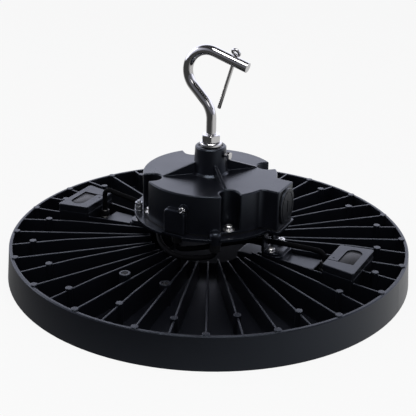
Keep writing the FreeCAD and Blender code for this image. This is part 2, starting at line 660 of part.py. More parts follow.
def foot_bracket():
    """Bent strap: a tab under the base plate, a leg with a window for the lead, and a foot."""
    sheet = BRACKET_SHEET
    outline = [(BRACKET_TAB_START, BASE_BOTTOM - sheet), (BRACKET_LEG, BASE_BOTTOM - sheet),
               (BRACKET_LEG, PAD_TOP), (BRACKET_FOOT_END, PAD_TOP), (BRACKET_FOOT_END, BRACKET_FOOT_TOP),
               (BRACKET_LEG + sheet, BRACKET_FOOT_TOP), (BRACKET_LEG + sheet, BASE_BOTTOM),
               (BRACKET_TAB_START, BASE_BOTTOM)]
    strap = standing(outline, BRACKET_WIDTH)
    outer_bends = [(BRACKET_LEG + sheet, BASE_BOTTOM), (BRACKET_LEG, PAD_TOP)]
    inner_bends = [(BRACKET_LEG, BASE_BOTTOM - sheet), (BRACKET_LEG + sheet, BRACKET_FOOT_TOP)]
    strap = strap.makeFillet(sheet * 1.4, cross_edges(strap, outer_bends))
    strap = strap.makeFillet(sheet * 0.4, cross_edges(strap, inner_bends))
    strap = strap.makeFillet(BRACKET_CORNER, upright_edges(strap, lambda m: m.x > BRACKET_FOOT_END - 0.1))
    half_window = BRACKET_WINDOW_WIDTH / 2
    window = block(BRACKET_LEG - sheet, BRACKET_LEG + 2 * sheet, -half_window, half_window,
                   BRACKET_FOOT_TOP, BRACKET_FOOT_TOP + BRACKET_WINDOW_HEIGHT)
    holes = [disc(SMALL_HOLE, PAD_TOP, sheet, place) for place in bracket_screw_places(0)]
    holes += [disc(SMALL_HOLE, BASE_BOTTOM - sheet, sheet, place) for place in tab_screw_places(0)]
    return strap.cut(Part.makeCompound([window] + holes))


# --- driver gasket and cap ------------------------------------------------------------------------
def driver_body(inset, bottom, height):
    """Round driver body with its square extension, smaller all round by an inset."""
    half = EXTENSION_WIDTH / 2 - inset
    body = disc(CAP_RADIUS - inset, bottom, height)
    arm = block(0, EXTENSION_REACH - inset, -half, half, bottom, bottom + height)
    return body.fuse(arm).removeSplitter()


def recesses(wall, bottom, height):
    """The four screw recesses, wider all round by a wall."""
    radius = RECESS_RADIUS + wall
    pattern = slot(radius, RECESS_START - wall, EXTENSION_REACH, bottom, height)
    return Part.makeCompound([turned(pattern, angle) for angle in RECESS_ANGLES])


def driver_cavity(inset, bottom, height):
    """Room inside the cap: the body less its walls and the recess walls."""
    return driver_body(inset, bottom, height).cut(recesses(inset, bottom, height))


def exit_bump(clearance, bottom, top):
    return disc(EXIT_RADIUS + clearance, bottom, top - bottom, polar(EXIT_CIRCLE, EXIT_ANGLE))


def driver_gasket():
    cavity = driver_cavity(CAP_WALL, BASE_TOP, GASKET_THICKNESS)
    body = driver_body(0, BASE_TOP, GASKET_THICKNESS).cut(cavity)
    removed = [disc(SMALL_HOLE, BASE_TOP, GASKET_THICKNESS, place) for place in cap_screw_places(0)]
    removed.append(exit_bump(HOLE_CLEARANCE, BASE_TOP, CAP_BOTTOM))
    return body.cut(Part.makeCompound(removed))


def side_pad():
    """Raised pad on the cap's wall with rounded upper corners and soft edges."""
    top = BASE_TOP + PAD_BUMP_RISE
    half = PAD_BUMP_WIDTH / 2
    body = block(CAP_RADIUS - CAP_WALL, PAD_BUMP_REACH + CAP_WALL, -half, half, CAP_BOTTOM, top)
    corners = [edge for edge in body.Edges
               if edge.BoundBox.XLength > 1 and abs(edge.BoundBox.ZMin - top) < 1e-6]
    body = body.makeFillet(PAD_BUMP_CORNER, corners)
    body = body.common(disc(PAD_BUMP_REACH, CAP_BOTTOM, top - CAP_BOTTOM))
    front = [edge for edge in body.Edges
             if edge.BoundBox.XMin > CAP_RADIUS and edge.CenterOfMass.z > CAP_BOTTOM + 1]
    return turned(body.makeFillet(PAD_BUMP_EDGE, front), PAD_BUMP_ANGLE)


def pad_screw_place(radius):
    """Point on the pad screw's axis."""
    return polar(radius, PAD_SCREW_ANGLE, BASE_TOP + PAD_SCREW_LEVEL)


def radial_disc(radius, start, end):
    """Disc on the pad screw's axis, from one radius of the cap to another."""
    along = pad_screw_place(end) - pad_screw_place(start)
    return Part.makeCylinder(radius, along.Length, pad_screw_place(start), along)


def pad_screw():
    """Slotted screw on its seat, the slot running aslant."""
    head_end = PAD_BUMP_REACH + PAD_SCREW_HEAD
    body = radial_disc(SMALL_RADIUS * 1.6, PAD_BUMP_REACH, head_end)
    body = body.makeFillet(PAD_SCREW_HEAD / 2, [edge for edge in body.Edges if
                           edge.CenterOfMass.distanceToPoint(pad_screw_place(head_end)) < 0.01])
    body = body.fuse(radial_disc(SMALL_RADIUS, CAP_RADIUS - CAP_WALL / 2, PAD_BUMP_REACH))
    half = PAD_SCREW_HEAD / 4
    groove = block(head_end - PAD_SCREW_HEAD / 2, head_end * 1.1, -RECESS_RADIUS, RECESS_RADIUS,
                   -half, half)
    groove = turned(turned(groove, 45, X_AXIS), PAD_SCREW_ANGLE)
    return body.cut(moved(groove, Z_AXIS * pad_screw_place(0).z))


def round_exit():
    """Round cable exit on the cap's wall, domed on top."""
    top = BASE_TOP + EXIT_RISE
    body = exit_bump(0, BASE_BOTTOM - EXIT_DROP, top)
    return body.makeFillet(EXIT_DOME, level_edges(body, top))


def hook_boss():
    """Tapered boss on the cap with a cup for the washer and four ribs down to the recesses."""
    bottom = CAP_TOP - CAP_WALL / 2
    foot_radius = HOOK_BOSS_RADIUS + HOOK_BOSS_DRAFT
    edge = HOOK_BOSS_FLARE / 2
    body = revolved([(0, bottom), (foot_radius + HOOK_BOSS_FLARE, bottom),
                     (foot_radius + HOOK_BOSS_FLARE, CAP_TOP),
                     (foot_radius, CAP_TOP + HOOK_BOSS_FLARE),
                     (HOOK_BOSS_RADIUS, BOSS_TOP - edge), (HOOK_BOSS_RADIUS - edge, BOSS_TOP),
                     (CUP_RADIUS, BOSS_TOP), (CUP_RADIUS, CUP_FLOOR), (0, CUP_FLOOR)])
    rib_end = RECESS_START - RIB_END_GAP
    rib = standing([(0, bottom), (rib_end, bottom), (rib_end, CAP_TOP + RIB_END_HEIGHT),
                    (HOOK_BOSS_RADIUS, CAP_TOP + RIB_HEIGHT), (0, CAP_TOP + RIB_HEIGHT)], RIB_THICKNESS)
    return body.multiFuse([turned(rib, angle) for angle in RECESS_ANGLES])


def oval(margin, thickness, start):
    """Plate of the plug's outline, wider all round by a margin, across +X from a place on X."""
    radius = PLUG_WIDTH / 2 + margin
    reach = (PLUG_HEIGHT - PLUG_WIDTH) / 2
    body = block(-reach, reach, -radius, radius, 0, thickness)
    body = body.fuse(disc(radius, 0, thickness, Vector(reach, 0, 0)))
    body = body.fuse(disc(radius, 0, thickness, Vector(-reach, 0, 0))).removeSplitter()
    body = turned(body, 90, Y_AXIS)
    return moved(body, Vector(start, 0, (CAP_BOTTOM + CAP_TOP) / 2))


def driver_cap():
    body = driver_body(0, CAP_BOTTOM, CAP_HEIGHT)
    half = EXTENSION_WIDTH / 2
    corner = math.sqrt(CAP_RADIUS ** 2 - half ** 2)
    body = body.makeFillet(EXTENSION_BLEND, upright_edges(body, lambda m: abs(m.x - corner) < 0.01))
    body = body.makeFillet(EXTENSION_CORNER, upright_edges(body, lambda m: m.x > EXTENSION_REACH - 0.01))
    body = body.cut(recesses(0, CAP_BOTTOM, CAP_HEIGHT))
    mouths = upright_edges(body, lambda m: abs(m.x) > RECESS_START / 2 and abs(m.y) > RECESS_START / 2
                           and math.hypot(m.x, m.y) > CAP_RADIUS - 0.01)
    body = body.makeFillet(CAP_EDGE, mouths)
    body = body.makeFillet(CAP_EDGE, level_edges(body, CAP_TOP))
    screw_seat = radial_disc(PAD_SCREW_SEAT, CAP_RADIUS - CAP_WALL, PAD_BUMP_REACH)
    body = body.multiFuse([side_pad(), screw_seat, round_exit(), hook_boss()])
    body = body.cut(recesses(0, CAP_TOP - CAP_WALL, RIB_HEIGHT + CAP_WALL))

    lugs = recesses(CAP_WALL / 2, CAP_BOTTOM, LUG_THICKNESS).common(
        disc(CAP_RADIUS - CAP_EDGE / 2, CAP_BOTTOM, LUG_THICKNESS))
    body = body.cut(driver_cavity(CAP_WALL, CAP_BOTTOM, CAP_HEIGHT - CAP_WALL)).fuse(lugs)

    removed = [disc(SMALL_HOLE, CAP_BOTTOM, LUG_THICKNESS, place) for place in cap_screw_places(0)]
    removed.append(disc(ROD_RADIUS + ROD_CLEARANCE, BOSS_TOP - SHANK_DEPTH - HOLE_CLEARANCE,
                        SHANK_DEPTH + HOLE_CLEARANCE))
    set_screw_level = Vector(0, 0, CAP_TOP + SET_SCREW_HEIGHT)
    removed.append(Part.makeCylinder(SMALL_HOLE, HOOK_BOSS_RADIUS * 2, set_screw_level, X_AXIS))
    removed.append(radial_disc(SMALL_HOLE, CAP_RADIUS - CAP_WALL / 2 - SCREW_END_GAP, PAD_BUMP_REACH))
    removed.append(oval(-PLUG_FLANGE + HOLE_CLEARANCE, CAP_WALL * 2, EXTENSION_REACH - CAP_WALL))
    removed.append(disc(LEAD_RADIUS + HOLE_CLEARANCE, BASE_BOTTOM - EXIT_DROP, EXIT_DROP + BASE_THICKNESS,
                        polar(EXIT_CIRCLE, EXIT_ANGLE)))
    return body.cut(Part.makeCompound(removed)).removeSplitter()


def end_plug():
    """Oval plug in the end of the extension with a plain turning slot."""
    start = EXTENSION_REACH + PLUG_SEAL
    head = oval(0, PLUG_HEAD, start)
    edges = [edge for edge in head.Edges if edge.BoundBox.XMin > start + PLUG_HEAD - 1e-6]
    head = head.makeFillet(PLUG_HEAD / 2, edges)
    body = oval(-PLUG_FLANGE, CAP_WALL + PLUG_SEAL, EXTENSION_REACH - CAP_WALL)
    middle = (CAP_BOTTOM + CAP_TOP) / 2
    half_width = PLUG_SLOT_WIDTH / 2
    half_length = PLUG_SLOT_LENGTH / 2
    groove = block(start + PLUG_HEAD / 2, start + PLUG_HEAD * 2, -half_width, half_width,
                   middle - half_length, middle + half_length)
    return head.fuse(body).cut(groove).removeSplitter()


def plug_seal():
    outer = oval(-PLUG_SEAL / 2, PLUG_SEAL, EXTENSION_REACH)
    inner = oval(-PLUG_FLANGE + HOLE_CLEARANCE, PLUG_SEAL, EXTENSION_REACH)
    return outer.cut(inner)


# --- hook and cotter pin --------------------------------------------------------------------------
def heading(angle):
    """Unit vector in the XZ plane at an angle in degrees from +X."""
    turn = math.radians(angle)
    return Vector(math.cos(turn), 0, math.sin(turn))


def bent_path(start, angle, steps):
    """Straight runs (length, 0) and tangent arcs (radius, turn) in the XZ plane, and where each begins."""
    edges = []
    starts = []
    point = start
    for size, turn in steps:
        starts.append(point)
        if turn == 0:
            end = point + heading(angle) * size
            edges.append(Part.makeLine(point, end))
        else:
            side = math.copysign(90, turn)
            centre = point + heading(angle + side) * size
            middle = centre - heading(angle + side + turn / 2) * size
            end = centre - heading(angle + side + turn) * size
            edges.append(Part.Arc(point, middle, end).toShape())
            angle += turn
        point = end
    return Part.Wire(edges), starts


def hook_axis():
    """Axis of the rod: shank, neck, bow and mouth, and where each begins."""
    lean = math.radians(HOOK_LEAN)
    slant = (BOW_OFFSET + HOOK_BEND * math.cos(lean) - NECK_BEND * (1 - math.cos(lean))) / math.sin(lean)
    steps = [(SHANK_DEPTH + NECK_RISE, 0), (NECK_BEND, HOOK_LEAN), (slant, 0),
             (HOOK_BEND, -(90 + HOOK_LEAN + MOUTH_SLOPE)), (MOUTH_LENGTH, 0)]
    return bent_path(Vector(0, 0, BOSS_TOP - SHANK_DEPTH), 90, steps)


def cotter_centre():
    """Where the cotter pin crosses the rod's axis."""
    starts = hook_axis()[1]
    return starts[4] + heading(-MOUTH_SLOPE) * COTTER_PLACE


def hook():
    path = hook_axis()[0]
    profile = Part.Wire(Part.makeCircle(ROD_RADIUS, Vector(0, 0, BOSS_TOP - SHANK_DEPTH), Z_AXIS))
    rod = path.makePipeShell([profile], True, False)
    up = heading(90 - MOUTH_SLOPE)
    start = cotter_centre() - up * ROD_RADIUS * 2
    return rod.cut(Part.makeCylinder(COTTER_RADIUS + COTTER_CLEARANCE, ROD_RADIUS * 4, start, up))


def cotter_pin():
    """Split pin through the mouth: two straight half-round legs and an eye bent over sideways."""
    up = heading(90 - MOUTH_SLOPE)
    centre = cotter_centre()
    wire = COTTER_RADIUS * 0.85
    bend = centre + up * (ROD_RADIUS + wire)
    eye = Part.makeTorus(COTTER_EYE, wire, bend + up * COTTER_EYE, Y_AXIS)
    eye = turned(eye, COTTER_EYE_TILT, heading(-MOUTH_SLOPE), bend)
    length = COTTER_LENGTH + ROD_RADIUS + wire * 1.5
    legs = Part.makeCylinder(COTTER_RADIUS, length, centre - up * COTTER_LENGTH, up)
    slit = Part.makeBox(COTTER_SLIT, COTTER_RADIUS * 4, COTTER_LENGTH + ROD_RADIUS)
    slit.translate(Vector(-COTTER_SLIT / 2, -COTTER_RADIUS * 2, -COTTER_LENGTH))
    slit.rotate(Vector(0, 0, 0), Y_AXIS, MOUTH_SLOPE)
    slit.translate(centre)
    return legs.cut(slit).fuse(eye)


def domed_washer():
    """Thick washer under the hook's nut, round along its upper edge."""
    bore = ROD_RADIUS + ROD_CLEARANCE
    body = ring(WASHER_RADIUS, bore, SPRING_TOP, WASHER_THICKNESS)
    return body.makeFillet(WASHER_EDGE, level_edges(body, WASHER_TOP,
                           lambda edge: edge.BoundBox.XLength > WASHER_RADIUS))


def set_screw():
    """Side screw along +X that locks the hook in the boss."""
    head = HOOK_BOSS_RADIUS + SET_SCREW_NECK
    body = hexagon(SMALL_FLATS, 0, SMALL_HEAD)
    body = body.fuse(disc(SMALL_RADIUS, ROD_RADIUS - head, head - ROD_RADIUS))
    return moved(turned(body, 90, Y_AXIS), Vector(head, 0, CAP_TOP + SET_SCREW_HEIGHT))


# --- leads and glands -----------------------------------------------------------------------------
def tube(name, points, radius):
    """Round tube along straight runs joined by tangent arcs, each as large as its runs allow."""
    edges = []
    at = points[0]
    radii = []
    for before, corner, after in zip(points, points[1:], points[2:]):
        back = before - corner
        ahead = after - corner
        half_turn = (math.pi - back.getAngle(ahead)) / 2
        trim = 0.45 * min(back.Length, ahead.Length)
        bend = trim / math.tan(half_turn)
        radii.append(round(bend, 1))
        start = corner + back.normalize() * trim
        end = corner + ahead.normalize() * trim
        bisector = (back + ahead).normalize()
        waypoint = corner + bisector * (bend / math.cos(half_turn) - bend)
        edges.append(Part.makeLine(at, start))
        edges.append(Part.Arc(start, waypoint, end).toShape())
        at = end
    edges.append(Part.makeLine(at, points[-1]))
    path = Part.Wire(edges)
    first = points[1] - points[0]
    profile = Part.Wire(Part.makeCircle(radius, points[0], first))
    body = path.makePipeShell([profile], True, False)
    print(name, "bend radii", radii, "volume share",
          round(body.Volume / (math.pi * radius ** 2 * path.Length), 4))
    return body


def lead(name, exit_place, exit_level, bends, run, side):
    """Lead from an exit, under the driver, through a bracket's window and down into its floor gland."""
    span = GLAND_PLACE - BRACKET_LEG
    points = [exit_place + Z_AXIS * exit_level, exit_place + Z_AXIS * (BASE_BOTTOM - LEAD_DROP)]
    points += [Vector(x * BRACKET_LEG, y * BRACKET_LEG, RIM_TOP + height * DRIVER_GAP)
               for x, y, height in bends]
    points += [Vector(side * (BRACKET_LEG + share * span), 0, RIM_TOP + height * DRIVER_GAP)
               for share, height in run]
    points.append(Vector(side * GLAND_PLACE, 0, FLOOR_HEIGHT + HOLE_CLEARANCE))
    return tube(name, points, LEAD_RADIUS)


def lead_right():
    return lead("lead_right", polar(SIDE_GLAND_CIRCLE, PAD_BUMP_ANGLE), BASE_BOTTOM,
                LEAD_RIGHT_BENDS, LEAD_RIGHT_RUN, 1)


def lead_left():
    return lead("lead_left", polar(EXIT_CIRCLE, EXIT_ANGLE), BASE_BOTTOM - EXIT_DROP,
                LEAD_LEFT_BENDS, LEAD_LEFT_RUN, -1)


def floor_gland():
    """Cable gland on the floor between a duct and its box: thick foot, chamfered neck."""
    top = RIM_TOP + GLAND_RISE
    bore = LEAD_RADIUS + HOLE_CLEARANCE / 2
    step = top - GLAND_RADIUS * 1.5
    slope = GLAND_RADIUS - GLAND_NECK
    body = revolved([(bore, FLOOR_TOP), (GLAND_RADIUS, FLOOR_TOP), (GLAND_RADIUS, step),
                     (GLAND_NECK, step + slope), (GLAND_NECK, top - slope), (GLAND_NECK - slope, top),
                     (bore, top)])
    return moved(body, Vector(GLAND_PLACE, 0, 0))


def side_gland():
    """Gland under the side exit: a collar through the base plate and a nut below it."""
    bore = LEAD_RADIUS + HOLE_CLEARANCE / 2
    low = BASE_BOTTOM - SIDE_GLAND_DROP
    edge = GLAND_RADIUS - GLAND_NECK
    body = revolved([(bore, low), (GLAND_NECK, low), (GLAND_RADIUS, low + edge),
                     (GLAND_RADIUS, BASE_BOTTOM), (GLAND_NECK, BASE_BOTTOM), (GLAND_NECK, BASE_TOP),
                     (bore, BASE_TOP)])
    return moved(body, polar(SIDE_GLAND_CIRCLE, PAD_BUMP_ANGLE))


def exit_gland():
    """Gland under the round exit."""
    bore = LEAD_RADIUS + HOLE_CLEARANCE / 2
    high = BASE_BOTTOM - EXIT_DROP
    low = high - EXIT_GLAND_DROP
    edge = GLAND_RADIUS - GLAND_NECK
    body = revolved([(bore, low), (GLAND_NECK, low), (GLAND_RADIUS, low + edge), (GLAND_RADIUS, high),
                     (bore, high)])
    return moved(body, polar(EXIT_CIRCLE, EXIT_ANGLE))


# --- driver electronics ---------------------------------------------------------------------------
def circuit_board():
    return driver_cavity(CAP_WALL + CIRCUIT_MARGIN, BASE_TOP + CIRCUIT_GAP, CIRCUIT_THICKNESS)


def circuit_pillars():
    radius = (RECESS_START + CAP_RADIUS) / 2 - CAP_WALL
    places = [polar(radius, angle + 45) for angle in RECESS_ANGLES]
    return Part.makeCompound([disc(SMALL_RADIUS * 1.5, BASE_TOP, CIRCUIT_GAP, place) for place in places])


def transformer():
    length, width, height = TRANSFORMER_SIZE
    bottom = BASE_TOP + CIRCUIT_GAP + CIRCUIT_THICKNESS
    core = block(-length / 2, length / 2, -width / 2, width / 2, bottom, bottom + height)
    return core.makeFillet(1.0, upright_edges(core, lambda middle: True))


def capacitors():
    bottom = BASE_TOP + CIRCUIT_GAP + CIRCUIT_THICKNESS
    reach = TRANSFORMER_SIZE[1] / 2 + CAPACITOR_RADIUS * 1.5
    places = [Vector(side * CAPACITOR_RADIUS * 1.3, reach, 0) for side in (-1, 1)]
    return Part.makeCompound([disc(CAPACITOR_RADIUS, bottom, CAPACITOR_LENGTH, place) for place in places])


# --- the whole light ------------------------------------------------------------------------------
def earth_terminal():
    """Stud, washer, nuts and spring washer of the earth terminal on the base plate."""
    place = polar(EARTH_CIRCLE, EARTH_ANGLE)
    clamp_nut = BASE_TOP + SMALL_WASHER
    spring = clamp_nut + SMALL_NUT
    lock_nut = spring + SMALL_SPRING
    top = lock_nut + SMALL_NUT + SMALL_RADIUS
    stud = disc(SMALL_RADIUS, BASE_BOTTOM, top - BASE_BOTTOM)
    stud = stud.makeFillet(SMALL_RADIUS / 2, level_edges(stud, top))
    head = disc(SMALL_HEAD_RADIUS, BASE_BOTTOM - SMALL_HEAD / 2, SMALL_HEAD / 2)
    washer = ring(SMALL_SPRING_RADIUS, SMALL_HOLE, BASE_TOP, SMALL_WASHER)
    nuts = placed(nut(SMALL_FLATS, SMALL_NUT, SMALL_HOLE), [Z_AXIS * clamp_nut, Z_AXIS * lock_nut])
    split = moved(spring_washer(SMALL_SPRING_RADIUS, SMALL_HOLE, SMALL_SPRING), Z_AXIS * spring)
    return [moved(shape, place) for shape in (stud.fuse(head), washer, nuts, split)]


def light():
    """Every node and its shape, in the light's frame."""
    small_nut = nut(SMALL_FLATS, SMALL_NUT, SMALL_HOLE)
    small_washer = ring(SMALL_WASHER_RADIUS, SMALL_HOLE, 0, SMALL_WASHER)
    small_spring = spring_washer(SMALL_SPRING_RADIUS, SMALL_HOLE, SMALL_SPRING)
    cap_head = LUG_TOP + SMALL_WASHER + SMALL_SPRING
    cap_screw = pan_screw(cap_head - BASE_BOTTOM + SMALL_NUT + SCREW_END_GAP)
    foot_screw = pan_screw(SMALL_SPRING + BRACKET_SHEET + FOOT_SCREW_DEPTH - SCREW_END_GAP)
    tab_screw = turned(pan_screw(BRACKET_SHEET + BASE_THICKNESS), 180, X_AXIS)
    lens_screw = turned(pan_screw(LENS_THICKNESS + LENS_SCREW_DEPTH - SCREW_END_GAP), 180, X_AXIS)
    big_spring = spring_washer(SPRING_WASHER_RADIUS, ROD_RADIUS + ROD_CLEARANCE, SPRING_WASHER_THICKNESS)
    big_nut = nut(NUT_FLATS, NUT_HEIGHT, ROD_RADIUS + ROD_CLEARANCE)
    earth_stud, earth_washer, earth_nuts, earth_spring = earth_terminal()
    return {
        "heat_sink": heat_sink(),
        "box_cover_right": box_cover(),
        "box_cover_left": turned(box_cover(), 180),
        "floor_gland_right": floor_gland(),
        "floor_gland_left": turned(floor_gland(), 180),
        "lead_right": lead_right(),
        "lead_left": lead_left(),
        "side_gland": side_gland(),
        "exit_gland": exit_gland(),
        "led_board": led_board(),
        "led_chips": led_chips(),
        "lens_plate": lens_plate(),
        "lens_seal": lens_seal(),
        "lens_screws": placed(lens_screw, lens_screw_places(LENS_BOTTOM)),
        "base_plate": base_plate(),
        "foot_bracket_right": foot_bracket(),
        "foot_bracket_left": turned(foot_bracket(), 180),
        "foot_screws": placed(foot_screw, bracket_screw_places(BRACKET_FOOT_TOP + SMALL_SPRING)),
        "foot_spring_washers": placed(small_spring, bracket_screw_places(BRACKET_FOOT_TOP)),
        "tab_screws": placed(tab_screw, tab_screw_places(BASE_BOTTOM - BRACKET_SHEET)),
        "driver_gasket": driver_gasket(),
        "driver_cap": driver_cap(),
        "cap_screws": placed(cap_screw, cap_screw_places(cap_head)),
        "cap_washers": placed(small_washer, cap_screw_places(LUG_TOP)),
        "cap_spring_washers": placed(small_spring, cap_screw_places(LUG_TOP + SMALL_WASHER)),
        "cap_nuts": placed(small_nut, cap_screw_places(BASE_BOTTOM - SMALL_NUT)),
        "earth_stud": earth_stud,
        "earth_washer": earth_washer,
        "earth_nuts": earth_nuts,
        "earth_spring_washer": earth_spring,
        "circuit_board": circuit_board(),
        "circuit_pillars": circuit_pillars(),
        "transformer": transformer(),
        "capacitors": capacitors(),
        "end_plug": end_plug(),
        "plug_seal": plug_seal(),
        "hook": hook(),
        "hook_spring_washer": moved(big_spring, Z_AXIS * CUP_FLOOR),
        "hook_washer": domed_washer(),
        "hook_nut": moved(big_nut, Z_AXIS * WASHER_TOP),
        "cotter_pin": cotter_pin(),
        "set_screw": set_screw(),
        "pad_screw": pad_screw(),
    }


os.makedirs("parts", exist_ok=True)
for node, shape in light().items():
    shape.exportStep("parts/" + node + ".step")
    print(node, len(shape.Solids), "solids", round(shape.Volume / 1000, 2), "cm3")
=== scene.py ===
import json
import logging
import math
from dataclasses import dataclass, field
from enum import Enum

import bmesh
import bpy
from mathutils import Matrix, Vector


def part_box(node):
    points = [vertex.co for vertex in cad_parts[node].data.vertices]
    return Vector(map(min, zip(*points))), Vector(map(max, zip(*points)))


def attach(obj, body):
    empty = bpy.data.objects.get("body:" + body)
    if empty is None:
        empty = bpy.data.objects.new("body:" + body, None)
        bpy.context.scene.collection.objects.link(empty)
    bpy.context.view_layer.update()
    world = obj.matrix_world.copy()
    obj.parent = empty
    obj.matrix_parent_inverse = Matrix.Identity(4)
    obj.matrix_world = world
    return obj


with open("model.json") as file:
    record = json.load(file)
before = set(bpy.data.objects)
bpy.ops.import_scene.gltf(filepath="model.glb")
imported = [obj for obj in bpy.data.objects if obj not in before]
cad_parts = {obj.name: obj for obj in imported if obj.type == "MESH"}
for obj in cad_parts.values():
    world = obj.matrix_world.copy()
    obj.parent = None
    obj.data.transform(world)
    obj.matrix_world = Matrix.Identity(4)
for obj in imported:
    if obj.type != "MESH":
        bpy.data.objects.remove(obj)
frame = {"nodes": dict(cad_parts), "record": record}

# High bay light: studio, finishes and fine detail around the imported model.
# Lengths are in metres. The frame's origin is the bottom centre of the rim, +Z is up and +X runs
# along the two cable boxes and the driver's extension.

LOG = logging.getLogger("high_bay_light")

Colour = tuple[float, float, float]
Triple = tuple[float, float, float]

WHITE: Colour = (1.0, 1.0, 1.0)
BLACK: Colour = (0.0, 0.0, 0.0)
BLACK_COAT: Colour = (0.0022, 0.0023, 0.0036)
COOL_GLOSS: Colour = (0.72, 0.82, 1.0)

# A Mix node set to colours takes them at inputs 6 and 7 and gives its result at output 2.
MIX_SHARE, MIX_FIRST, MIX_SECOND, MIX_RESULT = 0, 6, 7, 2
MIDDLE = 0.5                   # the mean of a noise between 0 and 1
EDGE_SAMPLES = 4               # rays that round an edge over
MERGE_DISTANCE = 1e-6
SHARP_ANGLE = math.radians(35)


# --- shader graphs -------------------------------------------------------------------------------
class Field:
    """A shader socket that can be used in arithmetic."""

    def __init__(self, graph: "Graph", socket: bpy.types.NodeSocket) -> None:
        """Wraps one output socket of a graph."""
        self.graph = graph
        self.socket = socket

    def _maths(self, operation: str, first: object, second: object) -> "Field":
        """Adds a Math node.

        Args:
            operation: the node's operation.
            first: a field or a number.
            second: a field or a number.

        Returns:
            The node's result.
        """
        settings = {"operation": operation}
        return self.graph.node("ShaderNodeMath", settings, {0: first, 1: second}).out("Value")

    def __add__(self, other: object) -> "Field":
        """Sum."""
        return self._maths("ADD", self, other)

    def __radd__(self, other: object) -> "Field":
        """Sum with a number on the left."""
        return self._maths("ADD", other, self)

    def __sub__(self, other: object) -> "Field":
        """Difference."""
        return self._maths("SUBTRACT", self, other)

    def __rsub__(self, other: object) -> "Field":
        """Difference from a number."""
        return self._maths("SUBTRACT", other, self)

    def __mul__(self, other: object) -> "Field":
        """Product."""
        return self._maths("MULTIPLY", self, other)

    def __rmul__(self, other: object) -> "Field":
        """Product with a number on the left."""
        return self._maths("MULTIPLY", other, self)

    def __gt__(self, other: object) -> "Field":
        """One where this is greater, else zero."""
        return self._maths("GREATER_THAN", self, other)

    def either(self, other: object) -> "Field":
        """The greater of two fields."""
        return self._maths("MAXIMUM", self, other)


class Step:
    """One node of a graph, with its outputs as fields."""

    def __init__(self, graph: "Graph", made: bpy.types.Node) -> None:
        """Wraps one node of a graph."""
        self.graph = graph
        self.made = made

    def out(self, name: str | int) -> Field:
        """An output socket by name or place."""
        return Field(self.graph, self.made.outputs[name])


